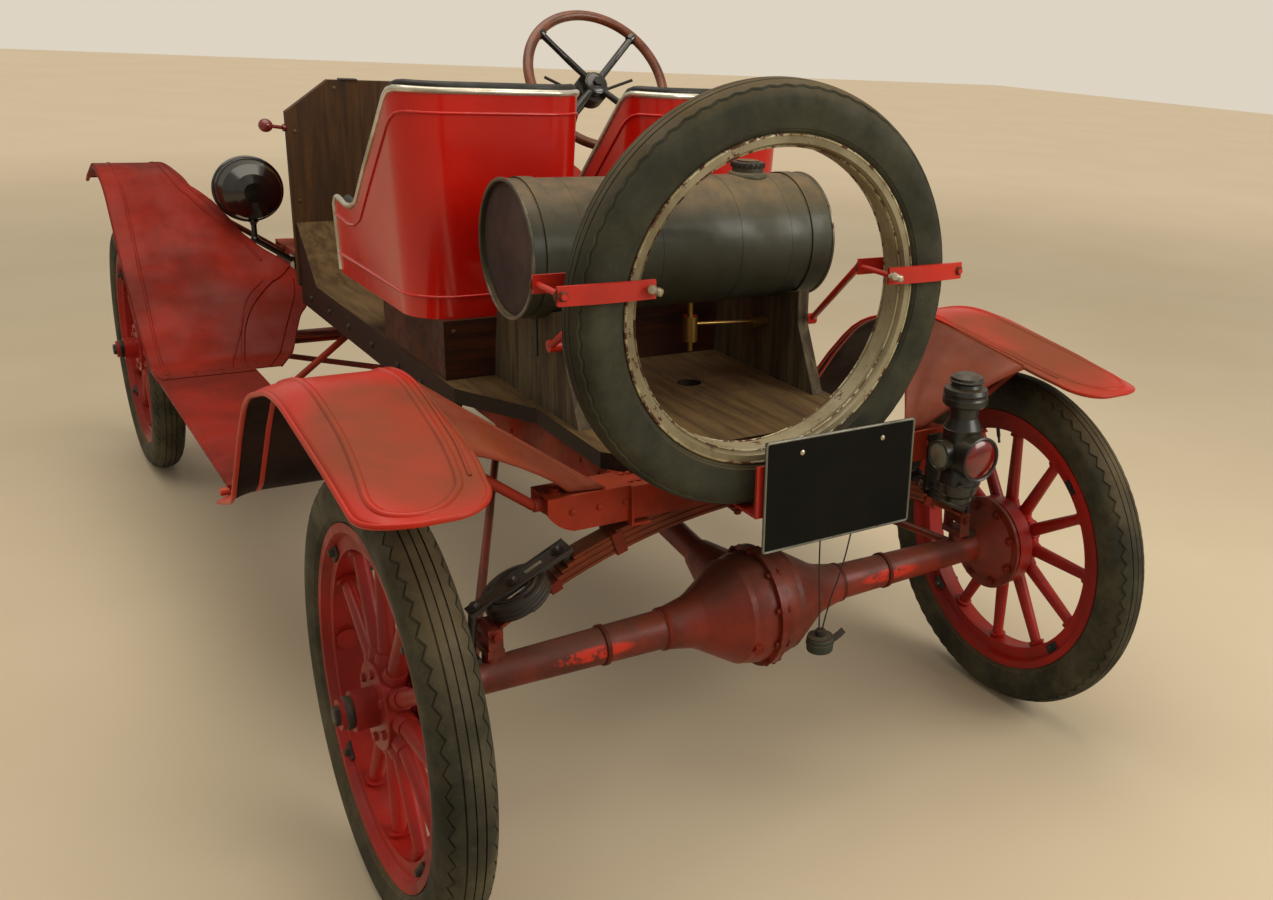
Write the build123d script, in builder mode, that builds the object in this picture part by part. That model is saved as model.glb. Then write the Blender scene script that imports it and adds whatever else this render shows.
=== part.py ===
from build123d import *
import os
from math import asin, cos, radians, sin, tan

# Millimetres. X points forward, Y to the left, Z up.
# The origin lies on the ground, midway between the axles.

# Chassis sizes
WHEELBASE = 2540.0
TRACK = 1422.0
REAR_X = -WHEELBASE / 2
FRONT_X = WHEELBASE / 2
FIT = 0.3

# Tyres, rims and wheels
TYRE_OD = 790.0
TYRE_SECTION = 90.0
SPARE_OD = 762.0
SPARE_SECTION = 84.0
SPARE_SEAT_R = SPARE_OD / 2 - SPARE_SECTION - 14
SPARE_LIP_R = SPARE_SEAT_R + 10
SPARE_BORE_R = SPARE_SEAT_R - 9
SPARE_RIM_WIDTH = 56.0
RIM_SEAT_R = TYRE_OD / 2 - TYRE_SECTION - 8
RIM_BORE_R = RIM_SEAT_R - 11
RIM_LIP_R = RIM_SEAT_R + 12
RIM_WIDTH = 60.0
RIM_WALL = 4.0
FELLOE_R = RIM_BORE_R - 24
FELLOE_WIDTH = 42.0
SPOKE_COUNT = 12
SPOKE_HUB_R = 17.0
SPOKE_TIP_R = 12.0
HUB_FLANGE_R = 76.0
HUB_WIDTH = 46.0
HUB_BARREL_R = 34.0
HUB_BARREL_LENGTH = 40.0
HUB_CAP_R = 26.0
HUB_CAP_LENGTH = 20.0
DRUM_R = 104.0
DRUM_WALL = 6.0
DRUM_DEPTH = 36.0
HUB_Z = TYRE_OD / 2

# Spindles and axle shafts
SPINDLE_R = 14.0
SPINDLE_REACH = 44.0
INNER_BARREL_R = 36.0
INNER_BARREL_LENGTH = 36.0

# Frame
FRAME_WIDTH = 584.0
FRAME_TOP = 718.0
RAIL_HEIGHT = 76.0
RAIL_FLANGE = 38.0
RAIL_WALL = 5.0
RAIL_TAIL = 45.0
RAIL_NOSE = 40.0
CROSS_WIDTH = 74.0
CROSS_HEIGHT = 66.0
CROSS_WALL = 6.0
CROSS_HALF = 445.0
CROSS_END_DROP = 30.0

# Springs
LEAF_THICKNESS = 6.0
LEAF_WIDTH = 45.0
LEAF_STEP = 2.0
EYE_R = 14.0
PIN_R = 6.0

SHOCK_Y = 478.0
SHOCK_LIFT = 15.0
SHOCK_FOOT = 30.0
COIL_R = 58.0
COIL_HEIGHT = 30.0

# Front axle and steering gear
KINGPIN_OFFSET = 95.0
KINGPIN_R = 8.0
BARREL_R = 16.0
BARREL_HEIGHT = 46.0
CHEEK = 14.0
BEAM_HEIGHT = 40.0
BEAM_WIDTH = 32.0
BEAM_WEB = 10.0
ARM_LENGTH = 150.0
ARM_WIDTH = 20.0
ARM_THICKNESS = 14.0
TIE_ROD_R = 9.0
TIE_ROD_RISE = 30.0
DRAG_LINK_RISE = 66.0
ROD_R = 9.0

# Body boards
DECK_Z = 750.0
DECK_THICKNESS = 32.0
DECK_HALF = 395.0
DECK_TAIL_HALF = 300.0
DECK_REAR_X = REAR_X + 15.0
DECK_NECK_X = REAR_X + 355.0
DECK_SHOULDER_X = REAR_X + 555.0
BOARD_X = REAR_X + 1800.0
BOARD_THICKNESS = 25.0
BOARD_HALF = DECK_HALF + 5
BOARD_TOP = 1289.0
BOARD_CORNER_Z = 1201.0
BOARD_CORNER_Y = 285.0
TOE_X = REAR_X + 1640.0
TOE_TOP = 900.0
TOE_THICKNESS = 20.0
PLANK_HEIGHT = 80.0
PLANK_THICKNESS = 24.0
RISER_REAR_X = REAR_X + 616.0
RISER_FRONT_X = REAR_X + 1031.0
RISER_HALF = DECK_HALF - 4
RISER_TOP = 878.0
RISER_WALL = 22.0

# Seats
SEAT_INNER_Y = 55.0
SEAT_OUTER_Y = 462.0
SEAT_REAR_X = REAR_X + 606.0
SEAT_FRONT_X = REAR_X + 1185.0
SEAT_TOP = 1342.0
SEAT_ARM_Z = 1052.0
SEAT_FLARE = 22.0
SEAT_CORNER_R = 95.0
SHEET = 4.0
EDGING_R = 7.0
CUSHION_HEIGHT = 120.0
PAD_THICKNESS = 45.0

# Fuel tank and its side boards
TANK_X = REAR_X + 390.0
TANK_Z = 1067.0
TANK_R = 134.0
TANK_HALF = 341.0
TANK_END_RECESS = 10.0
TANK_SHELL = 3.0
SUPPORT_Y = 285.0
SUPPORT_THICKNESS = 26.0
SUPPORT_FOOT_REAR = REAR_X + 190.0
SUPPORT_TOP_REAR = REAR_X + 260.0
SUPPORT_TOP_REAR_Z = 966.0
SUPPORT_TOP_FRONT = REAR_X + 593.0
SUPPORT_TOP_FRONT_Z = 896.0
STRAP_WIDTH = 28.0
STRAP_THICKNESS = 3.0
FILLER_Y = -200.0
FILLER_R = 34.0
TAP_Y = -66.0
DECK_HOLE_R = 27.0

# Spare wheel
SPARE_X = REAR_X - 112.0
SPARE_Y = 62.0
SPARE_Z = 1049.0
SPARE_LEAN = 3.5
STAY_FOOT_Z = 900.0
CLAMP_WIDTH = 30.0

# Plate and lamps
PLATE_X = REAR_X - 172.0
PLATE_Y = -73.0
PLATE_Z = 701.0
PLATE_WIDTH = 340.0
PLATE_HEIGHT = 214.0
PLATE_THICKNESS = 3.0
TAIL_LAMP = (REAR_X - 112.0, -428.0, 690.0)
TAIL_LAMP_R = 52.0
HEADLAMP_REAR_X = REAR_X + 2255.0
HEADLAMP_Y = 405.0
HEADLAMP_Z = 919.0
HEADLAMP_R = 100.0
SIDE_LAMP = (BOARD_X - 10.0, 455.0, 1166.0)
HANGING_LAMP = (REAR_X - 172.0, -46.0, 377.0)
WIRE_R = 1.5

# Engine, radiator and hood
ENGINE_FRONT_X = REAR_X + 2370.0
ENGINE_REAR_X = REAR_X + 1840.0
ENGINE_HALF = 130.0
ENGINE_TOP = 980.0
ENGINE_BOTTOM = 482.0
GEARBOX_REAR_X = REAR_X + 1400.0
GEARBOX_TOP = 690.0
GEARBOX_HALF = 120.0
RADIATOR_FRONT_X = REAR_X + 2530.0
RADIATOR_THICKNESS = 84.0
RADIATOR_HALF = 244.0
RADIATOR_TOP = 1172.0
RADIATOR_SHOULDER = 1100.0
HOOD_HALF_REAR = 290.0
HOOD_HALF_FRONT = 240.0
HOOD_TOP = 1160.0
HOOD_SHOULDER = 1062.0
HOOD_BOTTOM = 770.0
HOOD_SHEET = 3.0
HINGE_R = 5.5
HINGE_PIN_R = 3.0
HINGE_Y = 14.0
HOOD_EDGE_GAP = 6.0

# Steering column
STEER_CENTRE = (REAR_X + 1200.0, -237.0, 1341.0)
COLUMN_SLOPE = 30.6
COLUMN_R = 16.0
STEER_RIM_R = 200.0
STEER_GRIP_R = 13.0
STEER_DISH = 20.0
STEER_SHAFT_R = 11.0

# Fenders and running boards
FENDER_OUTER = 780.0
REAR_FENDER_OUTER = 806.0
SIDE_SHEET = 3.0
FENDER_LIP = 16.0
STEP_Z = TYRE_OD - 290
STEP_INNER = 540.0
STEP_REAR_X = REAR_X + 862.0
STEP_FRONT_X = REAR_X + 1758.0

os.makedirs("parts", exist_ok=True)


def save(shape, name):
    """Label a finished piece and write it under its own name."""
    shape.label = name
    export_step(shape, f"parts/{name}.step")


def rod(start, end, radius):
    """A straight round bar between two points."""
    reach = Vector(*end) - Vector(*start)
    return Solid.make_cylinder(radius, reach.length, Plane(origin=start, z_dir=reach))


def bent_rod(points, radius, bend):
    """A round bar along straight runs joined by arcs."""
    path = FilletPolyline(*points, radius=bend)
    return sweep((path ^ 0) * Circle(radius), path=path)


def bar(centre, size):
    """A rectangular bar about its centre."""
    corner = Vector(*centre) - Vector(*size) / 2
    return Solid.make_box(*size, plane=Plane(origin=corner))


# Tyres, as bodies of revolution about a local Z axis


def tyre_solid(outer_diameter, section, seat_r, width):
    """A tyre with its neck between the rim's lips."""
    section_r = section / 2
    centre_r = outer_diameter / 2 - section_r
    neck_r = seat_r + FIT
    with BuildPart() as tyre:
        with BuildSketch(Plane.XZ):
            with Locations((centre_r, 0)):
                Circle(section_r)
            with Locations(((centre_r + neck_r) / 2, 0)):
                Rectangle(centre_r - neck_r, width - 2 * FIT)
        revolve(axis=Axis.Z)
    return tyre.part


def rim_points(bore_r, seat_r, lip_r, width):
    """A rim's section as radius and axial place."""
    half = width / 2
    return [
        (bore_r, 10 - half),
        (seat_r - RIM_WALL, -half - RIM_WALL),
        (lip_r, -half - RIM_WALL),
        (lip_r, -half),
        (seat_r, -half),
        (seat_r, half),
        (lip_r, half),
        (lip_r, half + RIM_WALL),
        (seat_r - RIM_WALL, half + RIM_WALL),
        (bore_r, half - 10),
    ]


def wheel_solid(is_rear):
    """A spoked wheel with its hub and rim, outward along local Z."""
    bore_r = SPINDLE_R + FIT
    half_hub = HUB_WIDTH / 2
    with BuildPart() as wheel:
        with BuildSketch(Plane.XZ):
            Polygon(*rim_points(RIM_BORE_R, RIM_SEAT_R, RIM_LIP_R, RIM_WIDTH), align=None)
            with Locations(((FELLOE_R + RIM_BORE_R) / 2 + 2, 0)):
                Rectangle(RIM_BORE_R - FELLOE_R + 4, FELLOE_WIDTH)
        revolve(axis=Axis.Z)
        Cylinder(HUB_FLANGE_R, HUB_WIDTH)
        with PolarLocations(0, SPOKE_COUNT):
            Cone(
                SPOKE_HUB_R,
                SPOKE_TIP_R,
                FELLOE_R + 3,
                rotation=(0, 90, 0),
                align=(Align.CENTER, Align.CENTER, Align.MIN),
            )
        with Locations((0, 0, half_hub)):
            Cylinder(
                HUB_BARREL_R,
                HUB_BARREL_LENGTH,
                align=(Align.CENTER, Align.CENTER, Align.MIN),
            )
        with Locations((0, 0, half_hub + HUB_BARREL_LENGTH)):
            Cylinder(HUB_CAP_R, HUB_CAP_LENGTH, align=(Align.CENTER, Align.CENTER, Align.MIN))
        if is_rear:
            with BuildSketch(Plane.XZ):
                with Locations((DRUM_R - DRUM_WALL / 2, -half_hub - DRUM_DEPTH / 2)):
                    Rectangle(DRUM_WALL, DRUM_DEPTH)
                with Locations((DRUM_R / 2, -half_hub - DRUM_WALL / 2)):
                    Rectangle(DRUM_R, DRUM_WALL)
            revolve(axis=Axis.Z)
        else:
            with Locations((0, 0, -half_hub)):
                Cylinder(
                    INNER_BARREL_R,
                    INNER_BARREL_LENGTH,
                    align=(Align.CENTER, Align.CENTER, Align.MAX),
                )
        with Locations((0, 0, SPINDLE_REACH + FIT)):
            Cylinder(
                bore_r,
                SPINDLE_REACH * 4,
                align=(Align.CENTER, Align.CENTER, Align.MAX),
                mode=Mode.SUBTRACT,
            )
    return wheel.part


# Name, axle place along X, side, whether it carries a drum
WHEELS = (
    ("rear_left", REAR_X, 1, True),
    ("rear_right", REAR_X, -1, True),
    ("front_left", FRONT_X, 1, False),
    ("front_right", FRONT_X, -1, False),
)
road_tyre = tyre_solid(TYRE_OD, TYRE_SECTION, RIM_SEAT_R, RIM_WIDTH)
for place, axle_x, side, is_rear in WHEELS:
    hub_centre = (axle_x, side * TRACK / 2, HUB_Z)
    axle_plane = Plane(origin=hub_centre, x_dir=(1, 0, 0), z_dir=(0, side, 0))
    save(wheel_solid(is_rear).moved(axle_plane.location), f"wheel_{place}")
    save(road_tyre.moved(axle_plane.location), f"tyre_{place}")

# Frame: channel rails, inverted channel crossmember at the rear and spring seats

rail_length = WHEELBASE + RAIL_TAIL + RAIL_NOSE
rail_bottom = FRAME_TOP - RAIL_HEIGHT
rail_face = FRAME_WIDTH / 2
spring_seat_x = (REAR_X, FRONT_X)

with BuildPart() as rear_cross:
    with BuildSketch(Plane.XZ):
        with Locations((REAR_X, FRAME_TOP - CROSS_HEIGHT / 2)):
            Rectangle(CROSS_WIDTH, CROSS_HEIGHT)
        with Locations((REAR_X, FRAME_TOP - CROSS_WALL - CROSS_HEIGHT / 2)):
            Rectangle(CROSS_WIDTH - 2 * CROSS_WALL, CROSS_HEIGHT, mode=Mode.SUBTRACT)
    extrude(amount=CROSS_HALF, both=True)
    with BuildSketch(Plane.YZ.offset(REAR_X)) as end_outline:
        with BuildLine():
            low = FRAME_TOP - CROSS_HEIGHT
            Line((-CROSS_HALF, FRAME_TOP), (CROSS_HALF, FRAME_TOP))
            Line((CROSS_HALF, FRAME_TOP), (CROSS_HALF, FRAME_TOP - CROSS_END_DROP))
            ThreePointArc(
                (CROSS_HALF, FRAME_TOP - CROSS_END_DROP),
                (CROSS_HALF - 25, low + 10),
                (CROSS_HALF - 85, low),
            )
            Line((CROSS_HALF - 85, low), (85 - CROSS_HALF, low))
            ThreePointArc(
                (85 - CROSS_HALF, low),
                (25 - CROSS_HALF, low + 10),
                (-CROSS_HALF, FRAME_TOP - CROSS_END_DROP),
            )
            Line((-CROSS_HALF, FRAME_TOP - CROSS_END_DROP), (-CROSS_HALF, FRAME_TOP))
        make_face()
    extrude(amount=CROSS_WIDTH, both=True, mode=Mode.INTERSECT)

# Spring table: axle place, leaf crown height, half span, end height, leaf half lengths
REAR_SPRING = (REAR_X, 634.0, 540.0, 482.0, (540, 470, 400, 335, 270, 205, 145, 90))
FRONT_SPRING = (FRONT_X, 572.0, 500.0, 470.0, (500, 430, 360, 290, 215, 150, 90))


def spring_top(spring):
    """The height of the pack's top leaf at the middle."""
    return spring[1] + LEAF_THICKNESS * len(spring[4])


with BuildPart() as frame:
    for side in (1, -1):
        with BuildSketch(Plane.YZ.offset(REAR_X - RAIL_TAIL)):
            with Locations((side * (rail_face - RAIL_FLANGE / 2), FRAME_TOP - RAIL_HEIGHT / 2)):
                Rectangle(RAIL_FLANGE, RAIL_HEIGHT)
            with Locations(
                (side * (rail_face - RAIL_WALL - RAIL_FLANGE / 2), FRAME_TOP - RAIL_HEIGHT / 2)
            ):
                Rectangle(RAIL_FLANGE, RAIL_HEIGHT - 2 * RAIL_WALL, mode=Mode.SUBTRACT)
        extrude(amount=rail_length)
    add(rear_cross.part)
    with Locations((FRONT_X, 0, FRAME_TOP)):
        Box(
            CROSS_WIDTH,
            FRAME_WIDTH - 2 * RAIL_WALL,
            RAIL_HEIGHT,
            align=(Align.CENTER, Align.CENTER, Align.MAX),
        )
    with Locations((FRONT_X, 0, FRAME_TOP - CROSS_WALL)):
        Box(
            CROSS_WIDTH - 2 * CROSS_WALL,
            FRAME_WIDTH,
            RAIL_HEIGHT,
            align=(Align.CENTER, Align.CENTER, Align.MAX),
            mode=Mode.SUBTRACT,
        )
    for spring in (REAR_SPRING, FRONT_SPRING):
        seat_height = FRAME_TOP - spring_top(spring) - FIT
        with Locations((spring[0], 0, FRAME_TOP)):
            Box(
                LEAF_WIDTH + 2 * LEAF_STEP,
                150,
                seat_height,
                align=(Align.CENTER, Align.CENTER, Align.MAX),
            )
save(frame.part, "frame")

# Leaf springs: arched leaves, the longest below, with an eye at each end


def leaf_spring(spring):
    """A transverse pack of arched leaves in one piece."""
    axle_x, crown, half_span, end_z, leaves = spring
    drop = crown - end_z
    bow_r = (half_span**2 + drop**2) / (2 * drop)
    centre_z = crown - bow_r
    with BuildPart() as pack:
        for level, half_length in enumerate(leaves):
            inner_r = bow_r + level * LEAF_THICKNESS
            outer_r = inner_r + LEAF_THICKNESS
            reach = asin(half_length / bow_r)
            width = LEAF_WIDTH if level % 2 == 0 else LEAF_WIDTH - 2 * LEAF_STEP
            with BuildSketch(Plane.YZ.offset(axle_x)):
                with BuildLine():
                    low = [
                        (inner_r * sin(a), centre_z + inner_r * cos(a)) for a in (-reach, 0, reach)
                    ]
                    top = [
                        (outer_r * sin(a), centre_z + outer_r * cos(a)) for a in (-reach, 0, reach)
                    ]
                    ThreePointArc(*low)
                    Line(low[2], top[2])
                    ThreePointArc(*top)
                    Line(top[0], low[0])
                make_face()
            extrude(amount=width / 2, both=True)
        for side in (1, -1):
            with BuildSketch(Plane.YZ.offset(axle_x)):
                with Locations((side * half_span, end_z)):
                    Circle(EYE_R)
            extrude(amount=LEAF_WIDTH / 2, both=True)
            with BuildSketch(Plane.YZ.offset(axle_x)):
                with Locations((side * half_span, end_z)):
                    Circle(PIN_R + FIT)
            extrude(amount=LEAF_WIDTH, both=True, mode=Mode.SUBTRACT)
    return pack.part


save(leaf_spring(REAR_SPRING), "rear_spring")
save(leaf_spring(FRONT_SPRING), "front_spring")

# Rear axle: flared tubes about the final drive, backing plates and the torque tube

plate_y = TRACK / 2 - HUB_WIDTH / 2 - DRUM_DEPTH - 2
# Distance from the middle and radius of the housing
HOUSING = (
    (0, 112),
    (60, 106),
    (105, 78),
    (150, 50),
    (210, 38),
    (560, 31),
    (plate_y - 60, 34),
)
torque_start = Vector(REAR_X + 70, 0, HUB_Z + 8)
torque_end = Vector(GEARBOX_REAR_X - 12, 0, 560)
radius_rod_end = Vector(GEARBOX_REAR_X - 100, 0, 546)

with BuildPart() as rear_axle:
    with BuildSketch(Plane.YZ.offset(REAR_X)):
        with BuildLine():
            right = [(y, HUB_Z + r) for y, r in HOUSING]
            left = [(-y, HUB_Z + r) for y, r in HOUSING[:0:-1]]
            tip = HOUSING[-1][0]
            Polyline(*left, *right, (tip, HUB_Z), (-tip, HUB_Z), close=True)
        make_face()
    revolve(axis=Axis((REAR_X, 0, HUB_Z), (0, 1, 0)))
    with BuildSketch(Plane.XZ):
        with Locations((REAR_X, HUB_Z)):
            Circle(124)
    extrude(amount=8, both=True)
    for side in (1, -1):
        add(
            Solid.make_cone(
                34,
                88,
                46,
                Plane(origin=(REAR_X, side * (plate_y - 60), HUB_Z), z_dir=(0, side, 0)),
            )
        )
        add(
            Solid.make_cylinder(
                DRUM_R + 4,
                8,
                Plane(origin=(REAR_X, side * (plate_y - 14), HUB_Z), z_dir=(0, side, 0)),
            )
        )
        add(
            rod(
                (REAR_X, side * (plate_y - 10), HUB_Z),
                (REAR_X, side * (TRACK / 2 + SPINDLE_REACH), HUB_Z),
                SPINDLE_R,
            )
        )
        add(
            rod(
                (REAR_X, side * REAR_SPRING[2], HUB_Z),
                (REAR_X, side * REAR_SPRING[2], REAR_SPRING[3] - 26),
                15,
            )
        )
        for face in (1, -1):
            plate_x = REAR_X + face * (LEAF_WIDTH / 2 + 1 + 3)
            add(bar((plate_x, side * REAR_SPRING[2], REAR_SPRING[3] - 14), (6, 26, 52)))
        add(bar((REAR_X, side * REAR_SPRING[2], REAR_SPRING[3] - 34), (60, 30, 14)))
        add(
            rod(
                (REAR_X - LEAF_WIDTH / 2 - 6, side * REAR_SPRING[2], REAR_SPRING[3]),
                (REAR_X + LEAF_WIDTH / 2 + 6, side * REAR_SPRING[2], REAR_SPRING[3]),
                PIN_R,
            )
        )
        add(rod((REAR_X, side * 575, HUB_Z), radius_rod_end, ROD_R))
    add(Solid.make_cone(70, 34, 150, Plane(origin=torque_start, z_dir=torque_end - torque_start)))
    add(rod(torque_start, torque_end, 27))
save(rear_axle.part, "rear_axle")

# Front axle: I beam, kingpin forks, spring perches and radius rods

kingpin_y = TRACK / 2 - KINGPIN_OFFSET
beam_z = HUB_Z - 12
yoke_y = kingpin_y - BARREL_R - 8 - CHEEK / 2
front_rod_end = Vector(FRONT_X - 830, 0, 425)
with BuildPart() as front_axle:
    with BuildSketch(Plane.XZ):
        with Locations((FRONT_X, beam_z)):
            Rectangle(BEAM_WIDTH, BEAM_HEIGHT)
        for face in (1, -1):
            with Locations((FRONT_X + face * (BEAM_WEB + BEAM_WIDTH) / 4 + face * 3, beam_z)):
                Rectangle((BEAM_WIDTH - BEAM_WEB) / 2, BEAM_HEIGHT - 16, mode=Mode.SUBTRACT)
    extrude(amount=yoke_y, both=True)
    for side in (1, -1):
        yoke_height = BARREL_HEIGHT + 2 + 2 * CHEEK
        add(bar((FRONT_X, side * yoke_y, HUB_Z), (2 * BARREL_R - 6, CHEEK, yoke_height)))
        for lift in (1, -1):
            cheek_z = HUB_Z + lift * (BARREL_HEIGHT / 2 + 1 + CHEEK / 2)
            with Locations((FRONT_X, side * kingpin_y, cheek_z)):
                Cylinder(BARREL_R, CHEEK)
            cheek_reach = kingpin_y - yoke_y
            add(
                bar(
                    (FRONT_X, side * (kingpin_y - cheek_reach / 2), cheek_z),
                    (2 * BARREL_R, cheek_reach, CHEEK),
                )
            )
        with Locations((FRONT_X, side * kingpin_y, HUB_Z)):
            Cylinder(KINGPIN_R, yoke_height + 12)
        add(
            rod(
                (FRONT_X, side * FRONT_SPRING[2], beam_z),
                (FRONT_X, side * FRONT_SPRING[2], FRONT_SPRING[3] - 26),
                14,
            )
        )
        for face in (1, -1):
            plate_x = FRONT_X + face * (LEAF_WIDTH / 2 + 1 + 3)
            add(bar((plate_x, side * FRONT_SPRING[2], FRONT_SPRING[3] - 14), (6, 26, 52)))
        add(bar((FRONT_X, side * FRONT_SPRING[2], FRONT_SPRING[3] - 34), (60, 30, 14)))
        add(
            rod(
                (FRONT_X - LEAF_WIDTH / 2 - 6, side * FRONT_SPRING[2], FRONT_SPRING[3]),
                (FRONT_X + LEAF_WIDTH / 2 + 6, side * FRONT_SPRING[2], FRONT_SPRING[3]),
                PIN_R,
            )
        )
        add(rod((FRONT_X, side * 470, beam_z - 20), front_rod_end, ROD_R))
    with Locations(front_rod_end):
        Sphere(22)
save(front_axle.part, "front_axle")

# Knuckles: barrel, spindle and rearward steering arm

for place, side in (("left", 1), ("right", -1)):
    with BuildPart() as knuckle:
        with Locations((FRONT_X, side * kingpin_y, HUB_Z)):
            Cylinder(BARREL_R, BARREL_HEIGHT)
        add(
            rod(
                (FRONT_X, side * kingpin_y, HUB_Z),
                (FRONT_X, side * (TRACK / 2 - HUB_WIDTH / 2 - INNER_BARREL_LENGTH - 2), HUB_Z),
                20,
            )
        )
        add(
            rod(
                (FRONT_X, side * kingpin_y, HUB_Z),
                (FRONT_X, side * (TRACK / 2 + SPINDLE_REACH), HUB_Z),
                SPINDLE_R,
            )
        )
        add(
            bar(
                (FRONT_X - ARM_LENGTH / 2, side * kingpin_y, HUB_Z),
                (ARM_LENGTH, ARM_WIDTH, ARM_THICKNESS),
            )
        )
        with Locations((FRONT_X - ARM_LENGTH, side * kingpin_y, HUB_Z)):
            Cylinder(14, ARM_THICKNESS)
            Cylinder(PIN_R + FIT, 40, mode=Mode.SUBTRACT)
        with Locations((FRONT_X, side * kingpin_y, HUB_Z)):
            Cylinder(KINGPIN_R + FIT, 80, mode=Mode.SUBTRACT)
    save(knuckle.part, f"knuckle_{place}")

# Lines of the steering column, whose foot stands over the drop arm's shaft

column_dir = Vector(cos(radians(COLUMN_SLOPE)), 0, -sin(radians(COLUMN_SLOPE)))
rim_centre = Vector(*STEER_CENTRE)
hub_centre = rim_centre + column_dir * STEER_DISH
column_length = (hub_centre.Z - FRAME_TOP - 20) / sin(radians(COLUMN_SLOPE))
column_foot = hub_centre + column_dir * column_length

# Tie rod with a pin down into each arm, and the drag link across to the drop arm

arm_x = FRONT_X - ARM_LENGTH
tie_z = HUB_Z + TIE_ROD_RISE
link_z = HUB_Z + DRAG_LINK_RISE
drop_eye = Vector(column_foot.X - ARM_LENGTH, column_foot.Y, link_z)
with BuildPart() as tie_rod:
    add(rod((arm_x, -kingpin_y, tie_z), (arm_x, kingpin_y, tie_z), TIE_ROD_R))
    for side in (1, -1):
        with Locations((arm_x, side * kingpin_y, tie_z)):
            Cylinder(13, 30)
        add(
            rod(
                (arm_x, side * kingpin_y, tie_z),
                (arm_x, side * kingpin_y, HUB_Z - ARM_THICKNESS / 2 - 5),
                PIN_R,
            )
        )
save(tie_rod.part, "tie_rod")
with BuildPart() as drag_link:
    add(rod((arm_x, kingpin_y, link_z), drop_eye, 8))
    with Locations((arm_x, kingpin_y, link_z)):
        Sphere(15)
    add(rod((arm_x, kingpin_y, tie_z + 15 + FIT), (arm_x, kingpin_y, link_z), 8))
    with Locations(drop_eye):
        Cylinder(15, 24)
        Cylinder(PIN_R + FIT, 40, mode=Mode.SUBTRACT)
save(drag_link.part, "drag_link")

with BuildPart() as drop_arm:
    arm_z = link_z - 12 - 5 - ARM_THICKNESS / 2
    arm_root = Vector(column_foot.X, column_foot.Y, arm_z)
    add(rod(arm_root - Vector(0, 0, ARM_THICKNESS / 2), Vector(arm_root.X, arm_root.Y, FRAME_TOP - 5), 12))
    add(bar(arm_root - Vector(ARM_LENGTH / 2, 0, 0), (ARM_LENGTH, ARM_WIDTH, ARM_THICKNESS)))
    with Locations(arm_root, arm_root - Vector(ARM_LENGTH, 0, 0)):
        Cylinder(16, ARM_THICKNESS)
    eye_pin = arm_root - Vector(ARM_LENGTH, 0, 0)
    add(rod(eye_pin, Vector(eye_pin.X, eye_pin.Y, link_z + 17), PIN_R))
save(drop_arm.part, "drop_arm")

# Steering wheel and column

case_start = hub_centre + column_dir * 14
grip_centre_r = STEER_RIM_R - STEER_GRIP_R
with BuildPart() as steering_wheel:
    add(Solid.make_torus(grip_centre_r, STEER_GRIP_R, Plane(rim_centre, z_dir=column_dir)))
    add(Solid.make_cylinder(28, 24, Plane(hub_centre - column_dir * 12, z_dir=column_dir)))
    for index in range(4):
        angle = radians(45 + 90 * index)
        aside = Vector(0, 1, 0) * cos(angle) + column_dir.cross(Vector(0, 1, 0)) * sin(angle)
        add(rod(hub_centre + aside * 20, rim_centre + aside * grip_centre_r, 8))
    add(
        Solid.make_cylinder(STEER_SHAFT_R + FIT, 20, Plane(hub_centre, z_dir=column_dir)),
        mode=Mode.SUBTRACT,
    )
save(steering_wheel.part, "steering_wheel")

with BuildPart() as steering_column:
    add(Solid.make_cylinder(42, 42, Plane(case_start, z_dir=column_dir)))
    add(rod(case_start, column_foot, COLUMN_R))
    add(rod(hub_centre + column_dir, case_start + column_dir, STEER_SHAFT_R))
    lever_root = hub_centre + column_dir * 74
    for aside in (1, -1):
        add(rod(lever_root, lever_root + Vector(-30, aside * 125, 50), 4))
    foot_y = STEER_CENTRE[1]
    add(bar((column_foot.X, foot_y, FRAME_TOP + 14), (60, 40, 28)))
    add(bar((column_foot.X, (foot_y - rail_face) / 2, FRAME_TOP + 4), (60, rail_face + foot_y, 8)))
save(steering_column.part, "steering_column")

# Engine with gearbox as one block, carried on the rails by its arms, and the crank

crank_start = Vector(ENGINE_FRONT_X - 5, 0, 520)
crank_end = Vector(FRONT_X + 90, 0, 520)
crank = bent_rod([crank_start, crank_end, crank_end - Vector(0, 0, 130)], 8, 20)
with BuildPart() as engine:
    add(
        bar(
            ((ENGINE_FRONT_X + ENGINE_REAR_X) / 2, 0, (ENGINE_TOP + ENGINE_BOTTOM) / 2),
            (ENGINE_FRONT_X - ENGINE_REAR_X, 2 * ENGINE_HALF, ENGINE_TOP - ENGINE_BOTTOM),
        )
    )
    add(
        bar(
            ((ENGINE_REAR_X + GEARBOX_REAR_X) / 2, 0, (GEARBOX_TOP + ENGINE_BOTTOM) / 2),
            (ENGINE_REAR_X - GEARBOX_REAR_X, 2 * GEARBOX_HALF, GEARBOX_TOP - ENGINE_BOTTOM),
        )
    )
    for arm_at in (ENGINE_REAR_X + 30, ENGINE_FRONT_X - 60):
        add(bar((arm_at, 0, FRAME_TOP + 6), (36, 2 * rail_face - 24, 12)))
    add(crank)
    add(rod(crank_end - Vector(5, 0, 130), crank_end - Vector(-85, 0, 130), 13))
save(engine.part, "engine")

# Radiator with the strip along the hood's middle

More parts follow.
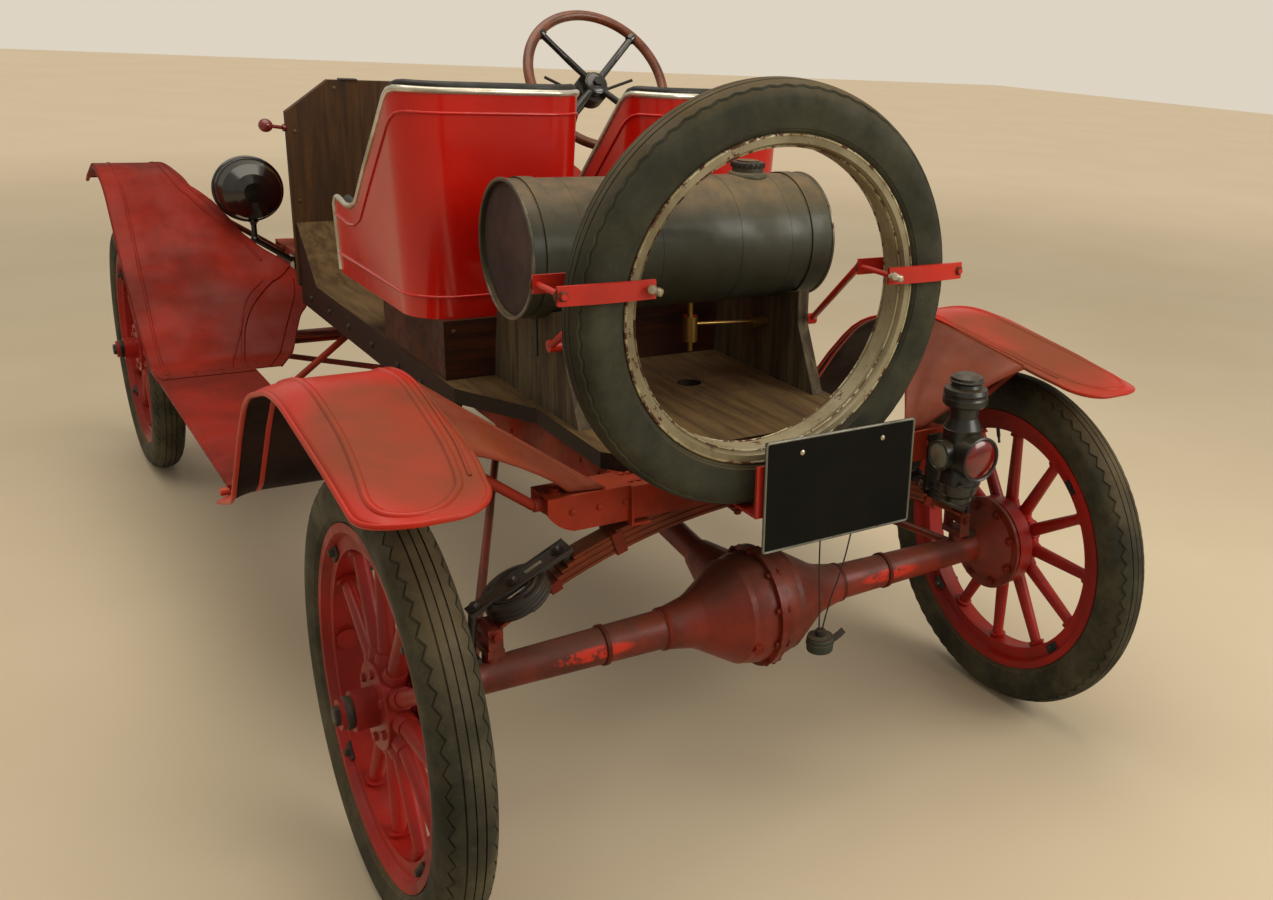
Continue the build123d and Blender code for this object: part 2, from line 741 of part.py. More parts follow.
hood_rear_x = BOARD_X + BOARD_THICKNESS + HOOD_EDGE_GAP
radiator_rear_x = RADIATOR_FRONT_X - RADIATOR_THICKNESS
hood_front_x = radiator_rear_x - HOOD_EDGE_GAP
with BuildPart() as radiator:
    with BuildSketch(Plane.YZ.offset(radiator_rear_x)):
        with BuildLine():
            Polyline(
                (-RADIATOR_HALF, RADIATOR_SHOULDER),
                (-RADIATOR_HALF, FRAME_TOP),
                (RADIATOR_HALF, FRAME_TOP),
                (RADIATOR_HALF, RADIATOR_SHOULDER),
            )
            ThreePointArc(
                (RADIATOR_HALF, RADIATOR_SHOULDER),
                (0, RADIATOR_TOP),
                (-RADIATOR_HALF, RADIATOR_SHOULDER),
            )
        make_face()
    extrude(amount=RADIATOR_THICKNESS)
    with Locations((RADIATOR_FRONT_X - 50, 0, RADIATOR_TOP - 8)):
        Cylinder(30, 40, align=(Align.CENTER, Align.CENTER, Align.MIN))
    strip_start = BOARD_X + BOARD_THICKNESS + FIT
    strip_length = radiator_rear_x - strip_start
    add(bar((strip_start + strip_length / 2, 0, HOOD_TOP), (strip_length, 2 * 6, 6)))
    add(bar((strip_start + 2, 0, HOOD_TOP), (4, 2 * (HINGE_Y + 4), 9)))
    for side in (1, -1):
        pin_start = (strip_start, side * HINGE_Y, HOOD_TOP)
        add(rod(pin_start, (radiator_rear_x, side * HINGE_Y, HOOD_TOP), HINGE_PIN_R))
save(radiator.part, "radiator")

# Hood: two lifting top halves over fixed side panels

shoulder_drop = HOOD_TOP - HOOD_SHOULDER


def hood_section(side, at_x, half_width):
    """The closed outline of a top half's sheet at one place."""
    with BuildSketch(Plane.YZ.offset(at_x)) as section:
        Polygon(
            (side * HINGE_Y, HOOD_TOP - HOOD_SHEET / 2),
            (side * HINGE_Y, HOOD_TOP + HOOD_SHEET / 2),
            (side * (half_width - 60), HOOD_TOP - 16),
            (side * half_width, HOOD_TOP - 60),
            (side * half_width, HOOD_SHOULDER),
            (side * (half_width - HOOD_SHEET), HOOD_SHOULDER),
            (side * (half_width - HOOD_SHEET), HOOD_TOP - 58),
            (side * (half_width - 61), HOOD_TOP - 19),
            align=None,
        )
    return section.sketch


for place, side in (("left", 1), ("right", -1)):
    rear_section = hood_section(side, hood_rear_x, HOOD_HALF_REAR)
    front_section = hood_section(side, hood_front_x, HOOD_HALF_FRONT)
    with BuildPart() as hood:
        loft(sections=[rear_section.face(), front_section.face()])
        barrel_ends = [(x, side * HINGE_Y, HOOD_TOP) for x in (hood_rear_x, hood_front_x)]
        add(rod(*barrel_ends, HINGE_R))
        add(rod(*barrel_ends, HINGE_PIN_R + FIT), mode=Mode.SUBTRACT)
    save(hood.part, f"hood_{place}")

with BuildPart() as hood_sides:
    for side in (1, -1):
        for at_x, half_width in (
            (BOARD_X + BOARD_THICKNESS + FIT, HOOD_HALF_REAR),
            (radiator_rear_x - FIT, HOOD_HALF_FRONT),
        ):
            with BuildSketch(Plane.YZ.offset(at_x)):
                with Locations(
                    (side * (half_width - HOOD_SHEET / 2), (HOOD_SHOULDER - 6 + HOOD_BOTTOM) / 2)
                ):
                    Rectangle(HOOD_SHEET, HOOD_SHOULDER - 6 - HOOD_BOTTOM)
        loft()
save(hood_sides.part, "hood_sides")

# Dash board with cut corners, its foot on the frame


def column_hole():
    """The clearance cylinder about the steering column."""
    return Solid.make_cylinder(COLUMN_R + 4, 1200, Plane(case_start, z_dir=column_dir))


with BuildPart() as dash_board:
    with BuildSketch(Plane.YZ.offset(BOARD_X)):
        Polygon(
            (-BOARD_HALF, FRAME_TOP + FIT),
            (BOARD_HALF, FRAME_TOP + FIT),
            (BOARD_HALF, BOARD_CORNER_Z),
            (BOARD_CORNER_Y, BOARD_TOP),
            (-BOARD_CORNER_Y, BOARD_TOP),
            (-BOARD_HALF, BOARD_CORNER_Z),
            align=None,
        )
    extrude(amount=BOARD_THICKNESS)
    add(column_hole(), mode=Mode.SUBTRACT)
save(dash_board.part, "dash_board")

# Floor deck: wide in front, narrow over the frame's tail, toe board and side planks

with BuildPart() as floor_deck:
    with BuildSketch(Plane.XY.offset(DECK_Z - DECK_THICKNESS)):
        Polygon(
            (DECK_REAR_X, 40 - DECK_TAIL_HALF),
            (DECK_REAR_X + 50, -DECK_TAIL_HALF),
            (DECK_NECK_X, -DECK_TAIL_HALF),
            (DECK_SHOULDER_X, -DECK_HALF),
            (TOE_X, -DECK_HALF),
            (TOE_X, DECK_HALF),
            (DECK_SHOULDER_X, DECK_HALF),
            (DECK_NECK_X, DECK_TAIL_HALF),
            (DECK_REAR_X + 50, DECK_TAIL_HALF),
            (DECK_REAR_X, DECK_TAIL_HALF - 40),
            align=None,
        )
    extrude(amount=DECK_THICKNESS)
    with Locations((TANK_X, TAP_Y, DECK_Z)):
        Cylinder(DECK_HOLE_R, 3 * DECK_THICKNESS, mode=Mode.SUBTRACT)
    with BuildSketch(Plane.XZ):
        Polygon(
            (TOE_X - 40, DECK_Z - DECK_THICKNESS),
            (TOE_X + 10, DECK_Z - DECK_THICKNESS),
            (BOARD_X - FIT, TOE_TOP - 24),
            (BOARD_X - FIT, TOE_TOP),
            (TOE_X - 10, DECK_Z),
            align=None,
        )
    extrude(amount=DECK_HALF, both=True)
    add(column_hole(), mode=Mode.SUBTRACT)
    for side in (1, -1):
        with BuildSketch(Plane.XZ.offset(-side * (DECK_HALF - PLANK_THICKNESS / 2))):
            Polygon(
                (DECK_SHOULDER_X + 25, DECK_Z - PLANK_HEIGHT),
                (BOARD_X - FIT, DECK_Z - PLANK_HEIGHT),
                (BOARD_X - FIT, TOE_TOP - 20),
                (TOE_X, DECK_Z - 2),
                (DECK_SHOULDER_X + 25, DECK_Z - 2),
                align=None,
            )
        extrude(amount=PLANK_THICKNESS / 2, both=True)
save(floor_deck.part, "floor_deck")

# Seat riser: a box open below

with BuildPart() as seat_riser:
    riser_mid_x = (RISER_REAR_X + RISER_FRONT_X) / 2
    riser_height = RISER_TOP - DECK_Z
    low = (Align.CENTER, Align.CENTER, Align.MIN)
    with Locations((riser_mid_x, 0, DECK_Z)):
        Box(RISER_FRONT_X - RISER_REAR_X, 2 * RISER_HALF, riser_height, align=low)
        Box(
            RISER_FRONT_X - RISER_REAR_X - 2 * RISER_WALL,
            2 * (RISER_HALF - RISER_WALL),
            riser_height - RISER_WALL,
            align=low,
            mode=Mode.SUBTRACT,
        )
save(seat_riser.part, "seat_riser")

# Bucket seats: a flared tub cut to the arm line, its edging, cushion and back pad

seat_mid_y = (SEAT_INNER_Y + SEAT_OUTER_Y) / 2
seat_half = (SEAT_OUTER_Y - SEAT_INNER_Y) / 2
seat_floor = RISER_TOP + FIT
# The arm line from the side: distance ahead of the seat's rear face, and height
ARM_LINE = (
    (60, SEAT_TOP),
    (84, SEAT_TOP - 8),
    (206, 1230),
    (294, 1156),
    (388, 1071),
    (430, 1055),
    (472, 1051),
    (553, 1061),
    (574, 1041),
)


def seat_blank(side, inset):
    """The tub's flared outer form, drawn in by an inset."""
    with BuildPart() as tub:
        for level, flare in ((seat_floor + inset, 0), (SEAT_TOP + 40, SEAT_FLARE)):
            half = seat_half - SEAT_FLARE + flare - inset
            rear = SEAT_REAR_X + SEAT_FLARE - flare + inset
            front = SEAT_FRONT_X + 60
            with BuildSketch(Plane.XY.offset(level)) as ring:
                with Locations(((rear + front) / 2, side * seat_mid_y)):
                    Rectangle(front - rear, 2 * half)
                rear_corners = ring.vertices().group_by(Axis.X)[0]
                fillet(rear_corners, radius=SEAT_CORNER_R - inset)
        loft()
    return tub.part


def side_profile(lift, front_shift):
    """The region below the arm line, seen from the side."""
    line = [(SEAT_REAR_X + x + front_shift / 2, z + lift) for x, z in ARM_LINE]
    return [
        (SEAT_REAR_X - 60, RISER_TOP),
        (SEAT_FRONT_X + front_shift, RISER_TOP),
        *line[::-1],
        (SEAT_REAR_X - 60, SEAT_TOP + lift),
    ]


def cut_to(profile, side):
    """A slab as wide as a seat with the given side view."""
    with BuildPart() as slab:
        with BuildSketch(Plane.XZ.offset(-side * seat_mid_y)):
            Polygon(*profile, align=None)
        extrude(amount=seat_half + 20, both=True)
    return slab.part


cushion_top = seat_floor + SHEET + FIT + CUSHION_HEIGHT
pad_front = SEAT_REAR_X + SEAT_FLARE + SHEET + PAD_THICKNESS
cushion_view = [
    (SEAT_REAR_X - 60, RISER_TOP),
    (SEAT_FRONT_X - 12, RISER_TOP),
    (SEAT_FRONT_X - 12, cushion_top),
    (SEAT_REAR_X - 60, cushion_top),
]
pad_view = [
    (SEAT_REAR_X - 60, cushion_top + FIT),
    (pad_front, cushion_top + FIT),
    (pad_front - SEAT_FLARE / 2, SEAT_TOP - 12),
    (SEAT_REAR_X - 60, SEAT_TOP - 12),
]
edgings = []
soft_pieces = []
for place, side in (("left", 1), ("right", -1)):
    below_arm = cut_to(side_profile(0, 0), side)
    shell = (seat_blank(side, 0) - seat_blank(side, SHEET)) & below_arm
    save(shell, f"seat_shell_{place}")
    wide_ring = seat_blank(side, -EDGING_R / 2) - seat_blank(side, SHEET + EDGING_R / 2)
    edgings.append((wide_ring & cut_to(side_profile(EDGING_R, 0), side)) - below_arm)
    inside = seat_blank(side, SHEET + FIT)
    soft_pieces.append(inside & cut_to(cushion_view, side))
    soft_pieces.append(inside & cut_to(pad_view, side))

with BuildPart() as seat_edgings:
    for edging in edgings:
        add(edging)
save(seat_edgings.part, "seat_edgings")

with BuildPart() as seat_cushions:
    for piece in soft_pieces:
        add(piece)
save(seat_cushions.part, "seat_cushions")

# Fuel tank with recessed ends and a filler cap, side boards, straps and tap

with BuildPart() as fuel_tank:
    with BuildSketch(Plane.XZ):
        with Locations((TANK_X, TANK_Z)):
            Circle(TANK_R)
    extrude(amount=TANK_HALF, both=True)
    for side in (1, -1):
        with BuildSketch(Plane.XZ.offset(-side * TANK_HALF)):
            with Locations((TANK_X, TANK_Z)):
                Circle(TANK_R - 2 * TANK_SHELL)
        extrude(amount=side * TANK_END_RECESS, mode=Mode.SUBTRACT)
    with Locations((TANK_X, FILLER_Y, TANK_Z + TANK_R - 6)):
        Cylinder(FILLER_R, 26, align=low)
    with Locations((TANK_X, FILLER_Y, TANK_Z + TANK_R + 10)):
        Cylinder(FILLER_R - 10, 20, align=low)
save(fuel_tank.part, "fuel_tank")

with BuildPart() as tank_supports:
    for side in (1, -1):
        with BuildSketch(Plane.XZ.offset(-side * (SUPPORT_Y - SUPPORT_THICKNESS / 2))):
            Polygon(
                (SUPPORT_FOOT_REAR, DECK_Z),
                (RISER_REAR_X - FIT, DECK_Z),
                (SUPPORT_TOP_FRONT, SUPPORT_TOP_FRONT_Z),
                (SUPPORT_TOP_REAR, SUPPORT_TOP_REAR_Z),
                (SUPPORT_TOP_REAR, SUPPORT_TOP_REAR_Z - 70),
                align=None,
            )
            with Locations((TANK_X, TANK_Z)):
                Circle(TANK_R + FIT, mode=Mode.SUBTRACT)
        extrude(amount=SUPPORT_THICKNESS / 2, both=True)
save(tank_supports.part, "tank_supports")

strap_y = SUPPORT_Y + FIT + STRAP_WIDTH / 2
with BuildPart() as tank_straps:
    for side in (1, -1):
        with BuildSketch(Plane.XZ.offset(-side * strap_y)):
            with Locations((TANK_X, TANK_Z)):
                Circle(TANK_R + FIT + STRAP_THICKNESS)
                Circle(TANK_R + FIT, mode=Mode.SUBTRACT)
        extrude(amount=STRAP_WIDTH / 2, both=True)
        tab_top = TANK_Z - TANK_R - 1
        add(
            bar(
                (TANK_X, side * (SUPPORT_Y + FIT + STRAP_THICKNESS / 2), tab_top - 40),
                (STRAP_WIDTH, STRAP_THICKNESS, 80),
            )
        )
save(tank_straps.part, "tank_straps")

with BuildPart() as fuel_tap:
    tap_top = TANK_Z - TANK_R - FIT
    add(rod((TANK_X, TAP_Y, tap_top), (TANK_X, TAP_Y, tap_top - 110), 6))
    with Locations((TANK_X, TAP_Y, tap_top - 60)):
        Cylinder(16, 56)
    pipe_y = SUPPORT_THICKNESS - SUPPORT_Y
    add(rod((TANK_X, TAP_Y, tap_top - 50), (TANK_X, pipe_y + 10, tap_top - 60), 4))
    add(rod((TANK_X, pipe_y + 40, tap_top - 60), (TANK_X, pipe_y + FIT, tap_top - 60), 15))
save(fuel_tap.part, "fuel_tap")

# Spare wheel: tyre and bare rim leaning a little, held by clamps, stays and a strut

spare_plane = Plane(
    origin=(SPARE_X, SPARE_Y, SPARE_Z),
    x_dir=(0, 1, 0),
    z_dir=(cos(radians(SPARE_LEAN)), 0, sin(radians(SPARE_LEAN))),
)
spare = tyre_solid(SPARE_OD, SPARE_SECTION, SPARE_SEAT_R, SPARE_RIM_WIDTH)
save(spare.moved(spare_plane.location), "spare_tyre")
with BuildPart() as spare_rim:
    with BuildSketch(Plane.XZ):
        Polygon(
            *rim_points(SPARE_BORE_R, SPARE_SEAT_R, SPARE_LIP_R, SPARE_RIM_WIDTH),
            (SPARE_BORE_R - 3, SPARE_RIM_WIDTH / 2 - 12),
            (SPARE_BORE_R - 3, 12 - SPARE_RIM_WIDTH / 2),
            align=None,
        )
    revolve(axis=Axis.Z)
save(spare_rim.part.moved(spare_plane.location), "spare_rim")

clamp_out = SPARE_SECTION / 2 + 2
# Clamp table: side, height above the wheel's middle, near and far ends from it
CLAMPS = (
    (1, 50, SPARE_BORE_R - 24, SPARE_OD / 2 + 34),
    (-1, 38, SPARE_BORE_R - 50, SPARE_OD / 2 + 18),
)
with BuildPart() as spare_carrier:
    for side, above, clamp_near, clamp_far in CLAMPS:
        rise = SPARE_Z + above
        middle_x = SPARE_X - above * tan(radians(SPARE_LEAN))
        for face in (1, -1):
            plate_centre = (middle_x + face * (clamp_out + 2), SPARE_Y + side * (clamp_far + clamp_near) / 2, rise)
            add(bar(plate_centre, (4, clamp_far - clamp_near, CLAMP_WIDTH)))
        for edge in (clamp_near + 8, clamp_far - 8):
            bolt_y = SPARE_Y + side * edge
            add(rod((middle_x - clamp_out - 14, bolt_y, rise), (middle_x + clamp_out + 12, bolt_y, rise), 5))
        foot_x = SUPPORT_TOP_REAR + 10
        stay_foot = Vector(foot_x, side * (SUPPORT_Y + 18), STAY_FOOT_Z)
        stay_head = Vector(middle_x + clamp_out + 8, SPARE_Y + side * (clamp_near + 8), rise)
        add(rod(stay_head, stay_foot, 7))
        foot_disc = [(foot_x, side * (SUPPORT_Y + reach), STAY_FOOT_Z) for reach in (24, FIT)]
        add(rod(*foot_disc, 12))
    cross_rear = REAR_X - CROSS_WIDTH / 2
    strut_y = PLATE_Y + PLATE_WIDTH / 2 - 2
    strut_x = PLATE_X + 10
    strut_z = SPARE_Z - SPARE_OD / 2 + FIT - 3
    add(bar(((cross_rear + strut_x) / 2, strut_y, strut_z), (cross_rear - strut_x, 26, 6)))
    add(bar((strut_x, strut_y, (strut_z + PLATE_Z + 57) / 2), (6, 26, PLATE_Z + 57 - strut_z + 6)))
save(spare_carrier.part, "spare_carrier")

# Plate, tail lamp and hanging lamp with its wires

with BuildPart() as number_plate:
    with Locations((PLATE_X, PLATE_Y, PLATE_Z)):
        Box(PLATE_THICKNESS, PLATE_WIDTH, PLATE_HEIGHT)
    arm_length = cross_rear - PLATE_X
    add(
        bar(
            (PLATE_X + arm_length / 2, PLATE_Y - PLATE_WIDTH / 2 + 60, FRAME_TOP - 26),
            (arm_length, 40, 6),
        )
    )
save(number_plate.part, "number_plate")

# Tail lamp profile: distance below or above the lens line, and radius
LAMP_PROFILE = (
    (-98, 0), (-98, 30), (-88, 41), (-66, 46), (-44, 42), (-30, 36), (-20, 40), (52, 40),
    (66, 34), (76, 30), (99, 30), (100, 40), (106, 47), (118, 47), (124, 44), (130, 47),
    (138, 44), (142, 33), (148, 31), (154, 35), (162, 33), (168, 20), (168, 0),
)
with BuildPart() as tail_lamp:
    lamp_x, lamp_y, lamp_z = TAIL_LAMP
    with BuildSketch(Plane.XZ.offset(-lamp_y)):
        Polygon(*[(lamp_x + r, lamp_z + z) for z, r in LAMP_PROFILE], align=None)
    revolve(axis=Axis((lamp_x, lamp_y, lamp_z), (0, 0, 1)))
    add(rod((lamp_x - 20, lamp_y, lamp_z), (lamp_x - 62, lamp_y, lamp_z), 46))
    add(rod((lamp_x, lamp_y + 20, lamp_z), (lamp_x, lamp_y + 60, lamp_z), 30))
    add(rod((lamp_x, lamp_y, lamp_z - 106), (lamp_x, lamp_y, lamp_z - 97), 32))
    bracket_x = cross_rear - FIT
    add(bar(((lamp_x + bracket_x) / 2, lamp_y, lamp_z - 103), (bracket_x - lamp_x, 32, 6)))
    add(bar((bracket_x - 3, lamp_y + 10, (lamp_z - 106 + 708) / 2), (6, 36, 708 - lamp_z + 106)))
save(tail_lamp.part, "tail_lamp")

with BuildPart() as hanging_lamp:
    with Locations(HANGING_LAMP):
        Cylinder(25, 30)
    with Locations((HANGING_LAMP[0], HANGING_LAMP[1], HANGING_LAMP[2] + 15)):
        Cylinder(10, 12, align=low)
save(hanging_lamp.part, "hanging_lamp")

wire_top_z = PLATE_Z - PLATE_HEIGHT / 2
for place, top_y, foot_y in (("left", -33.0, 4), ("right", -105.0, -4)):
    with BuildPart() as lamp_wire:
        foot = (HANGING_LAMP[0], HANGING_LAMP[1] + foot_y, HANGING_LAMP[2] + 27 + 1)
        add(rod(foot, (PLATE_X, top_y, wire_top_z - 1), WIRE_R))
    save(lamp_wire.part, f"lamp_wire_{place}")

# Headlamps on stalks, with arms to the rails

with BuildPart() as headlamps:
    for side in (1, -1):
        lamp_y = side * HEADLAMP_Y
        # Place ahead of the bowl's back and radius of the bowl
        bowl = ((0, 0), (2, 30), (12, 56), (36, 84), (70, HEADLAMP_R - 5), (97, HEADLAMP_R), (98, 0))
        with BuildSketch(Plane.XZ.offset(-lamp_y)):
            Polygon(*[(HEADLAMP_REAR_X + a, HEADLAMP_Z + r) for a, r in bowl], align=None)
        revolve(axis=Axis((HEADLAMP_REAR_X, lamp_y, HEADLAMP_Z), (1, 0, 0)))
        stalk_x = HEADLAMP_REAR_X + 60
        add(rod((stalk_x, lamp_y, HEADLAMP_Z - 60), (stalk_x, lamp_y, 762), 8))
        with Locations((stalk_x, lamp_y, 766)):
            Sphere(13)
        add(rod((stalk_x, lamp_y, 766), (stalk_x, side * (rail_face + 10), 694), 9))
        add(bar((stalk_x, side * (rail_face + FIT + 5), 690), (50, 10, 40)))
save(headlamps.part, "headlamps")

with BuildPart() as side_lamp:
    with Locations(SIDE_LAMP):
        Sphere(18)
    add(rod(SIDE_LAMP, (BOARD_X + 12, BOARD_HALF + 6, SIDE_LAMP[2] - 8), 5))
    add(rod((BOARD_X + 12, BOARD_HALF + 8, 1158), (BOARD_X + 12, BOARD_HALF + FIT, 1158), 10))
save(side_lamp.part, "side_lamp")

# Fenders: sheets that follow a side view, cut to a plan, with aprons to the frame


def sheet_along(points, bends, low_y, high_y, thickness):
    """A sheet following a side view between two distances aside."""
    with BuildPart() as sheet:
        with BuildSketch(Plane.XZ.offset(-low_y)):
            with BuildLine():
                FilletPolyline(*points, radius=bends)
                offset(amount=thickness / 2, side=Side.BOTH)
            make_face()
        extrude(amount=low_y - high_y)
    return sheet.part


# Side view from the step forward: place ahead of the rear axle, height above the tyres
FRONT_FENDER = (
    (1768, -290),
    (1900, -290),
    (2102, -171),
    (2240, -69),
    (2460, 140),
    (2664, 185),
    (2905, 105),
)
FRONT_BENDS = (60, 150, 200, 250, 300)
# Inner edge of the front fender in plan
FRONT_PLAN = (
    (2905, 620),
    (2653, 590),
    (2458, 550),
    (2402, 500),
    (2352, 466),
    (2309, 440),
    (2268, 400),
    (2228, 350),
    (2176, 322),
    (2081, 322),
    (2028, 356),
    (1912, 407),
    (1768, 470),
)
REAR_FENDER = (
    (870, -310),
    (700, -250),
    (560, -70),
    (460, 40),
    (240, 110),
    (-60, 70),
    (-285, 32),
)
REAR_BENDS = (150, 300, 250, 400, 300)
REAR_PLAN = (
    (870, 545),
    (560, 560),
    (323, 598),
    (298, 581),
    (76, 590),
    (-106, 570),
    (-133, 605),
    (-192, 622),
    (-234, 643),
    (-266, 683),
    (-276, 740),
    (-266, 788),
)


# Apron from the rear fender's inner edge to the crossmember's top, as triangles
REAR_APRON = (
    ((298, 592, 882), (240, 594, 892), (-34, 340, 721)),
    ((240, 594, 892), (76, 598, 878), (-34, 340, 721)),
    ((76, 598, 878), (-28, 404, 721), (-34, 340, 721)),
    ((76, 598, 878), (-60, 469, 783), (-28, 404, 721)),
    ((76, 598, 878), (-110, 580, 851), (-60, 469, 783)),
)
APRON_SHEET = 2.6


def panel(corners, depth):
    """A flat sheet with the given upper corners, as deep as given from top to underside."""
    face = Face(Wire.make_polygon([Vector(REAR_X + x, y, z) for x, y, z in corners], close=True))
    return Solid.extrude(face, Vector(0, 0, -depth))


def fender(side, profile, bends, plan, outer_y, apron):
    """A fender's sheet with its rolled outer lip."""
    ahead = [(REAR_X + x, TYRE_OD + above) for x, above in profile]
    outline = [(REAR_X + x, y) for x, y in plan]
    crown = sheet_along(ahead, bends, 250, outer_y, SIDE_SHEET)
    low_line = [(x, z - FENDER_LIP / 2) for x, z in ahead]
    lip = sheet_along(low_line, bends, outer_y - SIDE_SHEET, outer_y, FENDER_LIP)
    with BuildPart() as sheet:
        with BuildSketch(Plane.XY):
            Polygon(*outline, (outline[-1][0], outer_y), (outline[0][0], outer_y), align=None)
        extrude(amount=1500)
        add(crown, mode=Mode.INTERSECT)
        add(lip)
        for corners in apron:
            add(panel(corners, APRON_SHEET))
    if side > 0:
        return sheet.part
    return mirror(sheet.part, about=Plane.XZ)


for place, side in (("left", 1), ("right", -1)):
    front = fender(side, FRONT_FENDER, FRONT_BENDS, FRONT_PLAN, FENDER_OUTER, ())
    rear = fender(side, REAR_FENDER, REAR_BENDS, REAR_PLAN, REAR_FENDER_OUTER, REAR_APRON)
    save(front, f"front_fender_{place}")
    save(rear, f"rear_fender_{place}")

# Running boards

with BuildPart() as running_boards:
    for side in (1, -1):
        step_y = side * (STEP_INNER + FENDER_OUTER) / 2
        step_x = (STEP_REAR_X + STEP_FRONT_X) / 2
        step_size = (STEP_FRONT_X - STEP_REAR_X, FENDER_OUTER - STEP_INNER, 12)
        add(bar((step_x, step_y, STEP_Z - 6), step_size))
save(running_boards.part, "running_boards")

# Irons from the rails to the running boards, and to the fenders


def above_sheet(profile, bends):
    """The space above a fender's underside, less the fitting gap."""
    drop = SIDE_SHEET / 2 + FIT
    line = [(REAR_X + x, TYRE_OD + above - drop * 1.3) for x, above in profile]
    with BuildPart() as space:
        with BuildSketch(Plane.XZ):
            with BuildLine():
                FilletPolyline(*line, radius=bends)
                Polyline(line[-1], (line[-1][0], 1500), (line[0][0], 1500), line[0])
            make_face()
        extrude(amount=-1000)
    return space.part


# Iron table: rail place, rail height, place under the fender, distance aside
FRONT_IRONS = ((2150, 630, 2150, 600, 640), (2470, 700, 2500, 640, 930))
# Place of the rear iron under the fender
REAR_IRON_END = Vector(REAR_X - 60, 640, TYRE_OD + 55)


def iron(rail_x, rail_z, end_x, end_y, end_z, inner_y):
    """A round iron from the frame out to a foot under a sheet."""
    start = Vector(REAR_X + rail_x, inner_y + 8, rail_z)
    end = Vector(REAR_X + end_x, end_y, end_z)
    post = rod(end - Vector(0, 0, 8), end + Vector(0, 0, 90), 12)
    return rod(start, end, 9) + post + rod(start + Vector(0, 4, 0), start - Vector(0, 8, 0), 14)


front_space = above_sheet(FRONT_FENDER, FRONT_BENDS)
rear_space = above_sheet(REAR_FENDER, REAR_BENDS)
left_irons = [iron(*row, rail_face + FIT) - front_space for row in FRONT_IRONS]
rear_foot = Vector(REAR_X - 12, CROSS_HALF + FIT, FRAME_TOP - 15)
rear_bend = rear_foot + Vector(0, 16, 0)
rear_stalk = rod(rear_foot, rear_bend, 12) + rod(rear_bend, REAR_IRON_END, 9)
rear_pad = rod(REAR_IRON_END - Vector(0, 0, 8), REAR_IRON_END + Vector(0, 0, 90), 12)
left_irons.append(rear_stalk + rear_pad - rear_space)
with BuildPart() as board_brackets:
    for side in (1, -1):
        for bracket_x in (REAR_X + 1000, REAR_X + 1560):
            add(bar((bracket_x, side * (rail_face + FIT + 5), 676), (40, 10, 60)))
            slope_top = Vector(bracket_x, side * (rail_face + 12), 655)
            foot_z = STEP_Z - 12 - FIT - 5
            slope_foot = Vector(bracket_x, side * (STEP_INNER - 20), foot_z)
            add(rod(slope_top, slope_foot, 9))
            foot_size = (30, FENDER_OUTER - STEP_INNER + 10, 10)
            add(bar((bracket_x, side * ((STEP_INNER + FENDER_OUTER) / 2 - 18), foot_z), foot_size))
    for piece in left_irons:
        add(piece)
        add(mirror(piece, about=Plane.XZ))
save(board_brackets.part, "board_brackets")

# Pedals and levers through the toe board

with BuildPart() as pedals_and_levers:
    toe_slope = Vector(BOARD_X - FIT - TOE_X + 10, 0, TOE_TOP - DECK_Z).normalized()
    toe_out = Vector(-toe_slope.Z, 0, toe_slope.X)
    toe_root = Vector(TOE_X - 10, 0, DECK_Z) + toe_slope * 90
    for pedal_y in (-80, -150, -220):
        root = toe_root + Vector(0, pedal_y, 0) + toe_out * FIT
        add(rod(root, root + toe_out * 76, 7))
        add(rod(root, root + toe_out * 4, 16))
        with Locations(Location(Plane(root + toe_out * 80, x_dir=(0, 1, 0), z_dir=toe_out))):
            Box(56, 44, 10)
    lever_foot = Vector(REAR_X + 1480, -DECK_HALF + 60, DECK_Z + FIT)
    add(rod(lever_foot + Vector(0, 0, 6), lever_foot + Vector(-60, 0, 330), 8))
    add(rod(lever_foot, lever_foot + Vector(0, 0, 12), 26))
save(pedals_and_levers.part, "pedals_and_levers")

# Exhaust pipe and muffler, hung from the left rail

with BuildPart() as exhaust:
    pipe_y = -170
    add(rod((REAR_X + 300, pipe_y, 575), (REAR_X + 1830, pipe_y, 575), 18))
    add(rod((REAR_X + 350, pipe_y, 575), (REAR_X + 740, pipe_y, 575), 62))
    for hanger_x in (REAR_X + 400, REAR_X + 690):
        add(bar((hanger_x, (pipe_y - rail_face + RAIL_WALL) / 2, rail_bottom - FIT - 3), (24, 120, 6)))
        add(bar((hanger_x, pipe_y, 630), (24, 30, 20)))
save(exhaust.part, "exhaust")

# Coil dampers lying on the rear spring's ends, each below an arm from the axle up the spring

